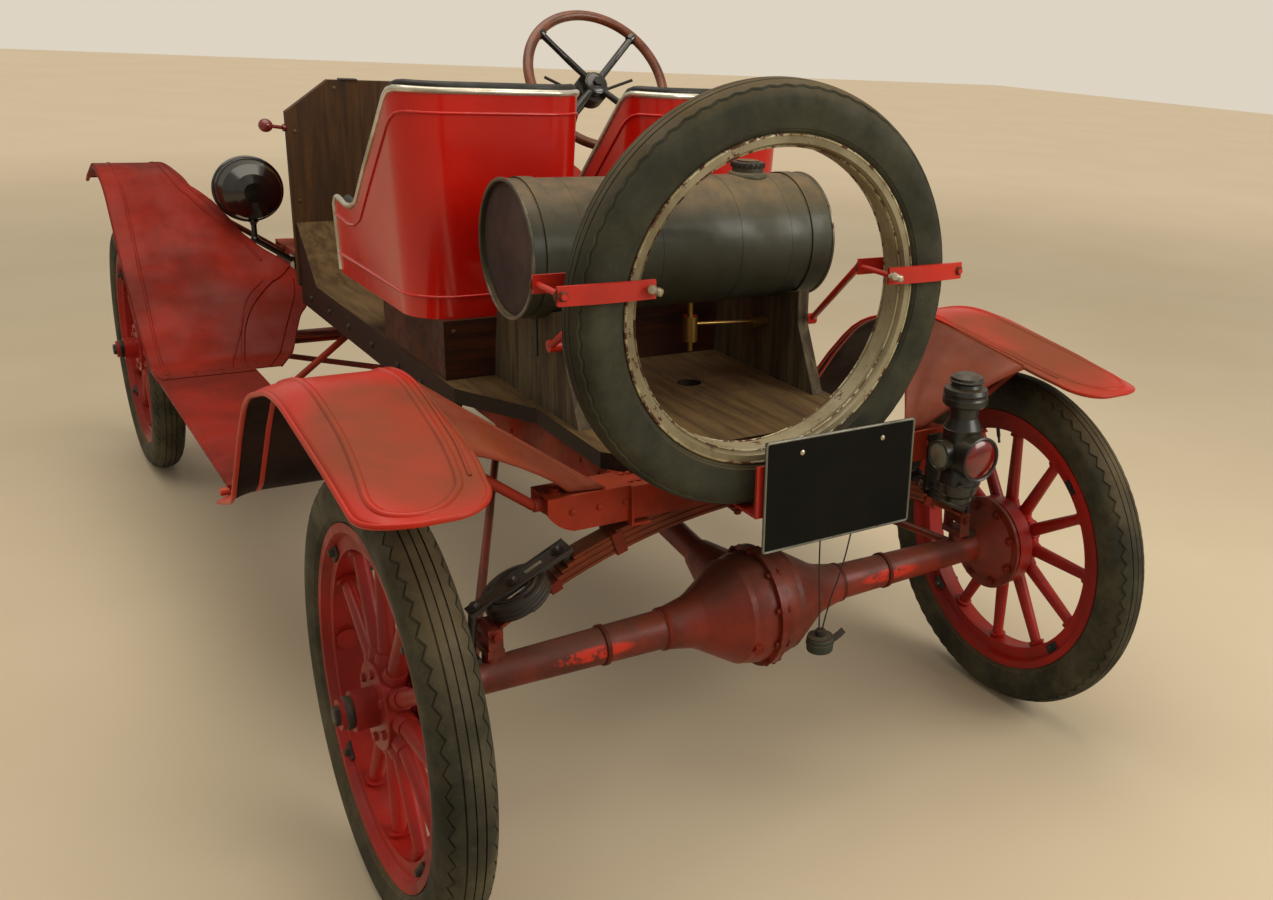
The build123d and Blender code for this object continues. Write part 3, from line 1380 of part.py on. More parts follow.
bow_drop = REAR_SPRING[1] - REAR_SPRING[3]
coil_slope = 2 * bow_drop * SHOCK_Y / REAR_SPRING[2] ** 2
leaf_z = REAR_SPRING[1] - bow_drop * (SHOCK_Y / REAR_SPRING[2]) ** 2
damper_pieces = []
for side in (1, -1):
    up_spring = Vector(0, -side, coil_slope).normalized()
    off_spring = Vector(0, side * coil_slope, 1).normalized()
    root = Vector(REAR_X, side * SHOCK_Y, leaf_z) + off_spring * SHOCK_LIFT
    lying = Plane(origin=root, x_dir=(1, 0, 0), z_dir=off_spring)
    damper_pieces.append(lying * extrude(Circle(COIL_R) - Circle(COIL_R - 26), COIL_HEIGHT))
    arm_level = root + off_spring * (COIL_HEIGHT + 3)
    arm_outer = arm_level - up_spring * 84
    arm_inner = arm_level + up_spring * 118
    for start, end, wide in ((arm_outer, arm_level, 30), (arm_level - up_spring * 40, arm_inner, 44)):
        face = Plane(origin=start, x_dir=(1, 0, 0), z_dir=end - start) * Rectangle(wide, 8)
        damper_pieces.append(extrude(face, (end - start).length))
    foot_top = arm_inner - up_spring * 14
    damper_pieces.append(rod(foot_top, foot_top - off_spring * SHOCK_FOOT, 13))
    damper_pieces.append(rod(arm_outer + up_spring * 8, (REAR_X, arm_outer.Y, HUB_Z + 40), 8))
    damper_pieces.append(bar((REAR_X, arm_outer.Y, HUB_Z + 34 + FIT + 5), (34, 26, 10)))
with BuildPart() as shock_absorbers:
    for piece in damper_pieces:
        add(piece)
save(shock_absorbers.part, "shock_absorbers")
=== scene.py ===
import math

import bmesh
import bpy
from mathutils import Matrix, Vector


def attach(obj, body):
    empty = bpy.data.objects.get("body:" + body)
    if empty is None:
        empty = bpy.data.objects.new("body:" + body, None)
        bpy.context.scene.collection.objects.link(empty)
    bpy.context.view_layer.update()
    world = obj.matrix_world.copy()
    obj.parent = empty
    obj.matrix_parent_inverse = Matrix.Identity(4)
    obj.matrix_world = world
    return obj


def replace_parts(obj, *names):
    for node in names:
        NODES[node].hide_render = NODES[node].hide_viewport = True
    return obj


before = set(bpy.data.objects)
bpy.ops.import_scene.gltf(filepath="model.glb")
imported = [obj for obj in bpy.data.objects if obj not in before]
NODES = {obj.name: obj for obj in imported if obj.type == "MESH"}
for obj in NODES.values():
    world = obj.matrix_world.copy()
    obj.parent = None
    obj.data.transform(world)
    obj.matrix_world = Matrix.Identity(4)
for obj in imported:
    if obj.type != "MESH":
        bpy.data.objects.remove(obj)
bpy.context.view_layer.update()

# Places in the shared frame, in millimetres
REAR_AXLE = -1270
FRONT_AXLE = 1270
HUB_HEIGHT = 395
HALF_TRACK = 711
FRAME_TOP = 718
REAR_SPRING = (634, 540, 482)  # crown height, half span, height of the ends
FRONT_SPRING = (572, 500, 470)
SPARE_HUB = Vector((-1382, 62, 1049))
PLATE = Vector((-1442, -73, 701))
TAIL_LAMP = Vector((-1382, -428, 690))
HANGING_LAMP = Vector((-1442, -46, 377))
TANK = Vector((-880, 0, 1067))
HAND_WHEEL = Vector((-70, -237, 1341))
COLUMN_SLOPE = math.radians(30.6)
COLUMN = Vector((math.cos(COLUMN_SLOPE), 0, -math.sin(COLUMN_SLOPE)))
AHEAD, LEFT, UP = Vector((1, 0, 0)), Vector((0, 1, 0)), Vector((0, 0, 1))
SIDES = (("left", 1), ("right", -1))


# Materials

RUST = (84, 46, 28)
DUST = (142, 112, 74)


def linear(tone, share=1.0):
    """A display colour from 0 to 255 as linear values, darkened to a share of them."""
    parts = [value / 255 for value in tone]
    parts = [v / 12.92 if v < 0.04045 else ((v + 0.055) / 1.055) ** 2.4 for v in parts]
    return (*(share * v for v in parts), 1.0)


class Nodes:
    """Short ways to add nodes to a tree. Three numbers in a tuple are a display colour."""

    def __init__(self, tree):
        self.tree = tree

    def fill(self, socket, value):
        if isinstance(value, bpy.types.NodeSocket):
            self.tree.links.new(value, socket)
        elif isinstance(value, tuple) and len(value) == 3:
            socket.default_value = linear(value)
        else:
            socket.default_value = value

    def node(self, kind, inputs=None, **values):
        made = self.tree.nodes.new("ShaderNode" + kind)
        for key, value in values.items():
            setattr(made, key, value)
        for key, value in (inputs or {}).items():
            self.fill(made.inputs[key], value)
        return made


class Paint(Nodes):
    """A procedural material in the object's own coordinates."""

    def __init__(self, name):
        self.material = bpy.data.materials.new(name)
        self.material.use_nodes = True
        super().__init__(self.material.node_tree)
        self.shader = self.tree.nodes["Principled BSDF"]
        self.coords = self.node("TexCoord").outputs["Object"]

    def stretched(self, scale, shift=(0, 0, 0)):
        inputs = {"Scale": Vector(scale), "Location": Vector(shift), "Vector": self.coords}
        return self.node("Mapping", inputs).outputs["Vector"]

    def noise(self, scale, detail=4, rough=0.55, vector=None, twist=0):
        inputs = {"Scale": scale, "Detail": detail, "Roughness": rough, "Distortion": twist}
        return self.node("TexNoise", {**inputs, "Vector": vector or self.coords}).outputs["Fac"]

    def cells(self, scale):
        return self.node("TexVoronoi", {"Scale": scale, "Vector": self.coords}).outputs["Distance"]

    def span(self, value, low, high, to_low=0, to_high=1):
        """A value eased from one range into another."""
        inputs = {"Value": value, "From Min": low, "From Max": high, "To Min": to_low, "To Max": to_high}
        return self.node("MapRange", inputs, interpolation_type="SMOOTHSTEP").outputs["Result"]

    def times(self, first, second, operation="MULTIPLY"):
        return self.node("Math", {0: first, 1: second}, operation=operation, use_clamp=True).outputs[0]

    def plus(self, first, second):
        return self.times(first, second, "ADD")

    def mix(self, factor, first, second, kind="RGBA"):
        inputs = {"Factor": factor, "A": first, "B": second}
        return self.node("Mix", inputs, data_type=kind).outputs["Result"]

    def mix_value(self, factor, first, second):
        return self.mix(factor, first, second, "FLOAT")

    def length(self, vector):
        return self.node("VectorMath", {0: vector}, operation="LENGTH").outputs["Value"]

    def near(self, place, low, high, scale):
        """One near a place on the object, none further away."""
        shift = [-a * s for a, s in zip(place, scale)]
        return self.span(self.length(self.stretched(scale, shift)), low, high, 1, 0)

    def upward(self, low=0.3, high=0.95):
        """One on faces that look up, none on upright ones."""
        normal = self.node("NewGeometry").outputs["Normal"]
        return self.span(self.node("SeparateXYZ", {0: normal}).outputs["Z"], low, high)

    def settled(self, share, spread, low=0.3, high=0.95):
        """How much dust lies on faces that look up."""
        return self.times(self.times(self.upward(low, high), spread), share)

    def bump(self, height, strength, distance=0.001):
        made = self.node("Bump", {"Strength": strength, "Distance": distance, "Height": height})
        self.fill(self.shader.inputs["Normal"], made.outputs["Normal"])

    def finish(self, color, rough, metal=0, coat=0, shine=0.5):
        inputs = {"Base Color": color, "Roughness": rough, "Metallic": metal, "Specular IOR Level": shine}
        for key, value in {**inputs, "Coat Weight": coat, "Coat Roughness": 0.12}.items():
            self.fill(self.shader.inputs[key], value)
        return self.material


def enamel(name, tone, shade, wear, dust, rough, coat, shine=0.5, under=RUST):
    """Paint with faded patches, chips down to a darker ground, and settled dust."""
    p = Paint(name)
    color = p.mix(p.span(p.noise(3.1, 5, 0.6), 0.36, 0.66), shade, tone)
    streaks = p.noise(9, 6, 0.65, p.stretched((1, 1, 0.35)))
    color = p.mix(p.span(streaks, 0.5, 0.72, 0, 0.45), color, shade)
    chips = p.plus(p.times(p.noise(55, 8, 0.7, twist=0.3), 0.62), p.times(p.noise(5.3, 3, 0.5), 0.38))
    edge = 0.5 + 0.23 * (1 - wear)
    chip = p.span(chips, edge, edge + 0.03)
    settled = p.settled(dust, p.span(p.noise(17, 6, 0.7), 0.3, 0.7, 0.25, 1))
    color = p.mix(settled, p.mix(chip, color, under), DUST)
    smudge = p.span(p.noise(7, 5, 0.6), 0.3, 0.7, rough * 0.75, min(1, rough * 1.5))
    p.bump(p.times(p.noise(140, 3), 0.25), 0.35)
    return p.finish(color, p.mix_value(settled, p.mix_value(chip, smudge, 0.85), 0.9), 0, coat, shine)


def wood(name, tone, shade, axis, dust, rough):
    """Timber with grain along one axis, stains and dust."""
    p = Paint(name)
    along = p.stretched([0.7 if letter == axis else 9 for letter in "XYZ"])
    rings = p.noise(4.5, 7, 0.65, along, 0.8)
    fine = p.noise(28, 5, 0.6, along)
    color = p.mix(p.span(rings, 0.35, 0.65), shade, tone)
    color = p.mix(p.span(fine, 0.45, 0.75, 0, 0.5), color, shade)
    color = p.mix(p.span(p.noise(3.2, 6, 0.65), 0.5, 0.7, 0, 0.5), color, linear(shade, 0.35))
    color = p.mix(p.settled(dust, p.span(p.noise(6, 7, 0.65), 0.3, 0.68, 0.2, 1), 0.5, 1), color, DUST)
    p.bump(p.plus(p.times(fine, 0.5), p.times(rings, 0.4)), 0.4, 0.0008)
    return p.finish(color, p.span(p.noise(9, 4), 0.3, 0.7, rough * 0.8, min(1, rough * 1.25)), shine=0.3)


def rubber(name, tone, pale):
    """Aged rubber, greyer where it is scuffed, with dust."""
    p = Paint(name)
    color = p.mix(p.span(p.noise(6, 8, 0.7), 0.36, 0.7), tone, pale)
    color = p.mix(p.span(p.cells(90), 0, 0.12, 0.35, 0), color, DUST)
    color = p.mix(p.times(p.upward(0.2, 0.9), 0.22), color, DUST)
    p.bump(p.noise(120, 6, 0.7), 0.4, 0.0012)
    return p.finish(color, p.span(p.noise(14, 5), 0.3, 0.7, 0.6, 0.9), shine=0.3)


def bare_metal(name, tone, dull, rough, metal, spots, dust=0.2):
    """Metal with a dull film, dark spots and dust."""
    p = Paint(name)
    film = p.span(p.noise(6, 7, 0.65), 0.35, 0.65)
    spot = p.span(p.noise(38, 8, 0.7), 0.66 - 0.2 * spots, 0.7 - 0.2 * spots)
    color = p.mix(spot, p.mix(film, tone, dull), RUST)
    color = p.mix(p.settled(dust, p.noise(12, 5)), color, DUST)
    p.bump(p.noise(90, 5), 0.25, 0.0006)
    roughness = p.mix_value(spot, p.span(film, 0, 1, rough * 0.8, rough * 1.3), 0.85)
    return p.finish(color, roughness, p.mix_value(spot, metal, 0.1))


def hide(name, tone, worn):
    """Black upholstery leather with a fine grain."""
    p = Paint(name)
    p.bump(p.cells(420), 0.5, 0.0006)
    color = p.mix(p.span(p.noise(8, 6, 0.6), 0.4, 0.7), tone, worn)
    return p.finish(color, p.span(p.noise(20, 4), 0.3, 0.7, 0.35, 0.6))


def faded(name, tone, worn):
    """Bright enamel, dusty orange over the crown of each rear fender."""
    p = Paint(name)
    mottle = p.noise(5, 6, 0.6)
    left, right = (p.near((-1.30, y, 0.87), 0.13, 0.21, (0.72, 1.35, 1)) for y in (0.68, -0.68))
    patch = p.times(p.plus(left, right), p.span(mottle, 0.25, 0.6, 0.55, 1))
    color = p.mix(p.span(p.noise(2.6, 5, 0.6), 0.4, 0.65, 0, 0.45), tone, linear(tone, 0.72))
    color = p.mix(patch, color, worn)
    color = p.mix(p.span(p.noise(60, 6, 0.7), 0.66, 0.7, 0, 0.6), color, (104, 42, 22))
    p.bump(p.noise(130, 3), 0.15, 0.0006)
    return p.finish(color, p.mix_value(patch, p.span(mottle, 0.3, 0.7, 0.3, 0.48), 0.66), 0, 0.08, 0.25)


def patched(name, tone, shade, bright):
    """Dull axle paint with three places where the old colour shows."""
    p = Paint(name)
    grime = p.span(p.noise(6, 7, 0.65), 0.36, 0.64)
    color = p.mix(grime, shade, tone)
    color = p.mix(p.span(p.noise(34, 7, 0.7), 0.6, 0.66, 0, 0.8), color, RUST)
    for place, scale in (
        ((-1.31, 0.36, 0.40), (0.8, 0.3, 1.7)),
        ((-1.31, -0.33, 0.40), (0.8, 0.3, 1.7)),
        ((-1.30, -0.02, 0.30), (0.7, 0.7, 0.8)),
    ):
        ragged = p.span(p.noise(38, 7, 0.7), 0.4, 0.52)
        color = p.mix(p.times(p.near(place, 0.018, 0.027, scale), ragged), color, bright)
    color = p.mix(p.times(p.upward(), 0.3), color, (112, 84, 66))
    p.bump(p.times(p.noise(90, 5), 0.4), 0.4)
    return p.finish(color, p.span(grime, 0, 1, 0.6, 0.42), 0, 0.05, 0.35)


def planks(name, tone, shade, side_tone):
    """Dusty boards on top, darker timber on the upright faces."""
    p = Paint(name)
    grain = p.noise(5, 7, 0.65, p.stretched((0.7, 8, 8)), 0.5)
    color = p.mix(p.span(grain, 0.32, 0.66), shade, tone)
    color = p.mix(p.times(p.span(p.noise(2.4, 7, 0.68), 0.42, 0.66), 0.45), color, shade)
    color = p.mix(p.span(p.noise(7, 5, 0.6, twist=1.5), 0.58, 0.64, 0, 0.35), color, (60, 38, 22))
    blots = p.noise(8, 6, 0.6, p.stretched((0.5, 3, 6)))
    sides = p.mix(p.span(blots, 0.35, 0.7), side_tone, linear(side_tone, 0.5))
    level = p.upward(0.35, 0.8)
    p.bump(grain, 0.3, 0.0008)
    return p.finish(p.mix(level, sides, color), p.mix_value(level, 0.55, 0.85), shine=0.25)


def hand_rim(name, outer, inner, limit):
    """One colour beyond a distance in metres from the steering column, another within it."""
    p = Paint(name)
    away = p.node("VectorMath", {0: p.coords, 1: HAND_WHEEL * 0.001}, operation="SUBTRACT")
    cross = p.node("VectorMath", {0: away.outputs[0], 1: COLUMN}, operation="CROSS_PRODUCT")
    rim = p.span(p.length(cross.outputs[0]), limit - 0.002, limit + 0.002)
    grain = p.noise(22, 6, 0.6)
    grained = p.mix(p.span(grain, 0.35, 0.65), linear(outer, 0.55), outer)
    p.bump(grain, 0.15, 0.0006)
    return p.finish(p.mix(rim, inner, grained), p.span(grain, 0.3, 0.7, 0.28, 0.45), 0, 0.2)


def lens(name, tone, rough):
    """Moulded glass with ribs and a little grime."""
    p = Paint(name)
    p.bump(p.cells(60), 0.3, 0.0008)
    color = p.mix(p.span(p.noise(30, 5), 0.4, 0.7), tone, linear(tone, 0.6))
    return p.finish(color, p.span(p.noise(18, 5), 0.3, 0.7, rough, rough * 2), 0, 0.6)


LOOKS = {
    # Tone, shade, wear, dust, roughness and coat, and for some shine and the ground below the paint
    enamel: {
        "seat_red": ((204, 24, 12), (184, 19, 10), 0, 0.02, 0.18, 0.45, 0.4),
        "fender_red": ((142, 26, 6), (102, 20, 5), 0.06, 0.02, 0.5, 0, 0.18),
        # The rear fenders' front lip: a lighter copy of their red, a painted highlight on the rolled edge
        "pale_red": ((196, 84, 58), (168, 52, 30), 0.1, 0.03, 0.45, 0, 0.25),
        "iron_red": ((136, 34, 14), (76, 24, 11), 0.3, 0.1, 0.55, 0, 0.22),
        "frame_red": ((158, 44, 14), (100, 34, 15), 0.36, 0.14, 0.6, 0, 0.22),
        "wheel_red": ((166, 26, 17), (122, 20, 13), 0.14, 0.04, 0.45, 0.05, 0.3),
        "clamp_red": ((190, 38, 22), (156, 30, 17), 0.12, 0.04, 0.4, 0.1, 0.35),
        "apron_red": ((128, 50, 26), (98, 36, 18), 0.2, 0.12, 0.55, 0, 0.3),
        "leaf_red": ((138, 56, 22), (84, 38, 18), 0.35, 0.25, 0.6, 0, 0.22),
        "under": ((44, 20, 14), (26, 14, 10), 0.3, 0, 0.85, 0, 0.2),
        "black": ((22, 22, 19), (36, 34, 26), 0.1, 0.14, 0.38, 0.2, 0.5, (60, 54, 40)),
        "black_gloss": ((14, 14, 13), (24, 23, 20), 0, 0.05, 0.2, 0.6, 0.5, (40, 38, 30)),
        "iron_black": ((20, 19, 17), (40, 33, 25), 0.22, 0.18, 0.5, 0),
        "plate": ((8, 8, 7), (12, 12, 10), 0, 0, 0.45, 0, 0.1, (30, 28, 22)),
        "tank": ((34, 37, 27), (56, 56, 38), 0.08, 0.5, 0.5, 0.05, 0.5, (74, 68, 50)),
        "tank_end": ((52, 26, 26), (38, 22, 18), 0.1, 0.1, 0.6, 0, 0.5, (70, 44, 36)),
        "lamp_green": ((52, 58, 44), (34, 38, 28), 0.2, 0.2, 0.5, 0),
        "wire": ((46, 38, 28), (28, 22, 16), 0, 0.1, 0.6, 0),
    },
    # Tone, dull tone, roughness, metal and spots, and for one the dust
    bare_metal: {
        "plate_edge": ((122, 122, 112), (92, 92, 82), 0.5, 0.4, 0.2),
        "tank_edge": ((122, 116, 100), (70, 66, 54), 0.45, 0.6, 0.3),
        "rim": ((146, 136, 108), (108, 98, 70), 0.6, 0.1, 0.25),
        "rim_edge": ((188, 180, 146), (120, 98, 58), 0.5, 0.2, 0.8),
        "edging": ((226, 222, 210), (176, 170, 152), 0.26, 0.7, 0, 0.05),
        "bright_nut": ((206, 200, 180), (150, 140, 112), 0.35, 0.7, 0.3),
        "rust_nut": ((120, 70, 44), (80, 44, 28), 0.7, 0.2, 0.9),
        "board_screw": ((120, 104, 72), (70, 56, 34), 0.5, 0.5, 0.4),
        "brass": ((168, 134, 70), (104, 82, 44), 0.35, 0.85, 0.2),
    },
    # Tone, shade, axis of the grain, dust and roughness
    wood: {
        "board": ((80, 50, 18), (52, 32, 11), "Z", 0.12, 0.6),
        "riser": ((84, 38, 13), (46, 21, 8), "Y", 0.12, 0.55),
        "support": ((92, 80, 58), (56, 44, 29), "Z", 0.3, 0.7),
    },
    planks: {"deck": ((100, 78, 46), (66, 47, 27), (36, 23, 12))},
    faded: {"rear_red": ((182, 34, 12), (122, 54, 24))},
    patched: {"axle_red": ((126, 36, 16), (80, 26, 12), (190, 38, 14))},
    rubber: {"tyre": ((38, 37, 27), (78, 73, 54)), "tyre_old": ((40, 41, 31), (64, 63, 46))},
    hide: {"leather": ((17, 16, 15), (32, 30, 27))},
    hand_rim: {"grip": ((116, 58, 30), (16, 16, 15), 0.168)},
    lens: {"ruby": ((110, 12, 10), 0.12), "lamp_ball": ((120, 22, 22), 0.18), "clear": ((120, 124, 108), 0.14)},
}
looks = {name: maker(name, *values) for maker, rows in LOOKS.items() for name, values in rows.items()}

# The solids' looks; a star stands for each hand
NODE_LOOKS = {
    "seat_red": "seat_shell_*",
    "fender_red": "front_fender_* hood_* hood_sides running_boards",
    "rear_red": "rear_fender_*",
    "iron_red": "front_axle knuckle_* tie_rod drag_link drop_arm board_brackets rear_spring front_spring",
    "axle_red": "rear_axle",
    "clamp_red": "spare_carrier",
    "frame_red": "frame",
    "wheel_red": "wheel_rear_* wheel_front_*",
    "black": "tail_lamp number_plate",
    "black_gloss": "headlamps",
    "lamp_ball": "side_lamp",
    "iron_black": "shock_absorbers engine exhaust pedals_and_levers steering_column hanging_lamp lamp_wire_*",
    "tank": "fuel_tank tank_straps",
    "board": "dash_board",
    "riser": "seat_riser",
    "support": "tank_supports",
    "deck": "floor_deck",
    "tyre": "tyre_rear_* tyre_front_* spare_tyre",
    "rim": "spare_rim",
    "edging": "seat_edgings",
    "brass": "radiator fuel_tap",
    "leather": "seat_cushions",
    "grip": "steering_wheel",
}
for look, names in NODE_LOOKS.items():
    for name in {name.replace("*", hand) for name in names.split() for hand, side in SIDES}:
        for slot in NODES[name].material_slots:
            slot.material = looks[look]


# Shapes, gathered in millimetres


def axes_about(axis):
    """Two unit vectors square to an axis, and the axis itself."""
    w = Vector(axis).normalized()
    guide = UP if abs(w.z) < 0.9 else AHEAD
    u = guide.cross(w).normalized()
    return u, w.cross(u), w


def ring_of(radius, steps=8, flat=1.0):
    """Offsets round a circle, or an ellipse where flat is under one."""
    turns = [math.tau * k / steps for k in range(steps)]
    return [(radius * math.cos(a), radius * flat * math.sin(a)) for a in turns]


def spokes(count, start=0.0):
    """Unit vectors in the plane of a wheel, from a share of the first gap."""
    turns = [math.tau * (k + start) / count for k in range(count)]
    return [Vector((math.cos(a), 0, math.sin(a))) for a in turns]


def rounded(points, radii, step=10.0):
    """A line in a plane with its corners rounded, and its straight runs divided."""
    line = [Vector(points[0])]
    for before, corner, after, radius in zip(points, points[1:], points[2:], radii):
        corner = Vector(corner)
        inward = (Vector(before) - corner).normalized()
        outward = (Vector(after) - corner).normalized()
        turn = math.pi - inward.angle(outward)
        reach = radius * math.tan(turn / 2)
        centre = corner + (inward + outward).normalized() * (radius / math.cos(turn / 2))
        first = corner + inward * reach - centre
        last = corner + outward * reach - centre
        start = math.atan2(first.y, first.x)
        sweep = (math.atan2(last.y, last.x) - start + math.pi) % math.tau - math.pi
        count = max(2, int(radius * turn / step) + 1)
        for k in range(count + 1):
            a = start + sweep * k / count
            line.append(centre + Vector((math.cos(a), math.sin(a))) * radius)
    full = [line[0]]
    for point in (*line[1:], Vector(points[-1])):
        origin = full[-1]
        parts = max(1, int((point - origin).length / step))
        full.extend(origin.lerp(point, k / parts) for k in range(1, parts + 1))
    return full


def height_at(line, place):
    """The second value of a line at a first value."""
    if line[0].x > line[-1].x:
        line = line[::-1]
    for low, high in zip(line, line[1:]):
        if low.x <= place <= high.x:
            return low.y + (high.y - low.y) * ((place - low.x) / max(1e-6, high.x - low.x))
    return line[0].y if place < line[0].x else line[-1].y


def curved(points, parts=8):
    """A smooth curve through points, by Catmull-Rom."""
    points = [Vector(p) for p in points]
    ends = [points[0] * 2 - points[1], *points, points[-1] * 2 - points[-2]]
    line = []
    for a, b, c, d in zip(ends, ends[1:], ends[2:], ends[3:]):
        bend, twist = 2 * a - 5 * b + 4 * c - d, 3 * b - a - 3 * c + d
        for t in (k / parts for k in range(parts)):
            line.append(0.5 * (2 * b + (c - a) * t + bend * t * t + twist * t ** 3))
    return [*line, points[-1]]


def added(name, data):
    """A new object in the scene."""
    made = bpy.data.objects.new(name, data)
    bpy.context.collection.objects.link(made)
    return made


class Shape:
    """Points and faces of one piece. A face's tone is the number of its material."""

    def __init__(self):
        self.points = []
        self.faces = []
        self.tones = []

    def face(self, corners, tone):
        corners = list(dict.fromkeys(corners))
        if len(corners) > 2:
            self.faces.append(corners)
            self.tones.append(tone)

    def skin(self, rings, closed=False, tone=0):
        """Rings of points joined one to the next, capped unless closed."""
        start, width = len(self.points), len(rings[0])
        starts = [start + width * i for i in range(len(rings))]
        for ring in rings:
            self.points.extend(Vector(p) for p in ring)
        for one, two in zip(starts, starts[1:] + starts[:1] if closed else starts[1:]):
            for k in range(width):
                m = (k + 1) % width
                self.face([one + k, one + m, two + m, two + k], tone)
        for one in () if closed else (starts[0], starts[-1]):
            self.face(range(one, one + width), tone)

    def sheet(self, rows, tone=0):
        """Rows of points joined into one open sheet."""
        start, width = len(self.points), len(rows[0])
        for row in rows:
            self.points.extend(row)
        for i in range(len(rows) - 1):
            for k in range(width - 1):
                a = start + i * width + k
                self.face([a, a + 1, a + width + 1, a + width], tone)

    def spin(self, profile, centre, axis, steps=24, tone=0, closed=False):
        """A profile of distance along the axis and radius, turned about it and closed at its ends."""
        u, v, w = axes_about(axis)
        centre = Vector(centre)
        if not closed:
            profile = [(profile[0][0], 0), *profile, (profile[-1][0], 0)]
        ways = [u * a + v * b for a, b in ring_of(1, steps)]
        rings = [[centre + w * along + way * max(radius, 0.01) for way in ways] for along, radius in profile]
        self.skin(rings, closed, tone)

    def hoop(self, profile, centre, axis, steps, tone=0):
        """A closed profile turned about an axis."""
        self.spin(profile, centre, axis, steps, tone, closed=True)

    def sweep(self, path, ring, closed=False, tone=0):
        """A ring of offsets carried along a path without twisting."""
        path = [Vector(p) for p in path]
        count = len(path)
        along = []
        for i in range(count):
            before = path[i - 1] if closed or i else path[i]
            after = path[(i + 1) % count] if closed or i < count - 1 else path[i]
            along.append((after - before).normalized())
        side = axes_about(along[0])[0]
        rings = []
        for point, way in zip(path, along):
            side = (side - way * side.dot(way)).normalized()
            above = way.cross(side)
            rings.append([point + side * a + above * b for a, b in ring])
        self.skin(rings, closed, tone)

    def bolt(self, at, axis, size=7, tall=7, tone=0):
        """A hexagon head on a washer."""
        top = 1.5 + tall
        washer = [(-1, size * 1.5), (1.6, size * 1.5), (2, size * 1.4)]
        head = [(0, size), (1.5 + tall * 0.7, size), (top, size * 0.8)]
        self.spin(washer, at, axis, 16, tone)
        self.spin(head, at, axis, 6, tone)

    def rivet(self, at, axis, size=6, tone=0):
        """A round head."""
        head = [(-1, size), (size * 0.35, size * 0.9), (size * 0.65, size * 0.5), (size * 0.75, 0)]
        self.spin(head, at, axis, 12, tone)

    def block(self, centre, size, turn=Matrix.Identity(3), tone=0, edge=1.0):
        """A bar with its long edges eased, along its own Z."""
        x, y, z = (s / 2 for s in size)
        e = min(edge, x * 0.4, y * 0.4)
        outline = [(x - e, -y), (x, e - y), (x, y - e), (x - e, y), (e - x, y), (-x, y - e), (-x, e - y), (e - x, -y)]
        levels = ((-z, 1 - e / x), (e - z, 1), (z - e, 1), (z, 1 - e / x))
        rings = [[turn @ Vector((a * s, b * s, level)) for a, b in outline] for level, s in levels]
        self.skin([[Vector(centre) + p for p in ring] for ring in rings], tone=tone)

    def build(self, name, slot, materials, angle=32, body="chassis"):
        """The finished piece, riding on a body."""
        data = bpy.data.meshes.new(name)
        data.from_pydata([p * 0.001 for p in self.points], [], self.faces)
        for material in materials:
            data.materials.append(looks[material])
        data.polygons.foreach_set("material_index", self.tones)
        work = bmesh.new()
        work.from_mesh(data)
        bmesh.ops.remove_doubles(work, verts=work.verts, dist=0.00002)
        bmesh.ops.recalc_face_normals(work, faces=work.faces)
        work.to_mesh(data)
        work.free()
        data.shade_smooth()
        data.set_sharp_from_angle(angle=math.radians(angle))
        piece = added(name, data)
        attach(piece, body)
        return piece


# The hanging lamp's two wires: names, side of the top and of the foot, bow and length

for name, node, top_y, foot_y, bow, length in (
    ("lamp_wire_one", "lamp_wire_left", -33, -42, 0.002, 0.188),
    ("lamp_wire_two", "lamp_wire_right", -105, -50, -0.006, 0.196),
):
    top, foot = (Vector((HANGING_LAMP.x, y, z)) * 0.001 for y, z in ((top_y, 594), (foot_y, 405)))
    route = [top, top.lerp(foot, 0.35) + LEFT * bow, top.lerp(foot, 0.7) - LEFT * bow * 0.6, foot]
    data = bpy.data.curves.new(name, "CURVE")
    data.dimensions = "3D"
    data.bevel_depth = 0.0015
    data.bevel_resolution = 2
    spline = data.splines.new("NURBS")
    spline.points.add(len(route) - 1)
    for point, place in zip(spline.points, route):
        point.co = (*place, 1)
    spline.order_u = 3
    spline.use_endpoint_u = True
    spline.resolution_u = 8
    data.materials.append(looks["wire"])
    wire = added(name, data)
    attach(wire, "chassis")
    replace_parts(wire, node)


# Tyres with zigzag shoulders and ribs

TEETH = 72
ZIGZAG = (-1.0, 0.15, 1.0, 0.1)
KNOB = 2  # the step of the zigzag that carries a knob
ROUNDNESS = 2.35


def tyre_section(section, seat_r, outer_r, bead, step, depth):
    """Aside and radius from the bead to the middle, at one step of the zigzag."""
    half = section / 2
    centre_r = outer_r - half
    shoulder = half * 0.7 + ZIGZAG[step] * depth * half * 0.085

    def crown(aside, sunk=0.0):
        lift = max(0.0, 1 - abs(aside / half) ** ROUNDNESS) ** (1 / ROUNDNESS)
        return (aside, centre_r + half * lift - sunk)

    return [
        *((bead + a, seat_r + r) for a, r in ((-0.4, 0.4), (0, 9), (3, 14), (6.5, 17), (7, 18.6), (9.5, 21))),
        (half - 2.2, seat_r + 33), (half - 0.3, centre_r - 3), crown(half - 0.1, 1.0), crown(half * 0.965, 1.2),
        crown(half * 0.9, 3.0 if step == KNOB else 1.6),
        crown(shoulder + 1.7, 2.6), crown(shoulder + 1.1, 5.0), crown(shoulder - 0.9, 4.6), crown(shoulder - 1.5, 0.2),
        crown(half * 0.52), crown(half * 0.345), crown(half * 0.335, 3.2), crown(half * 0.295, 3.2),
        crown(half * 0.285), crown(half * 0.16), crown(1.1), crown(0.9, 3.2),
    ]


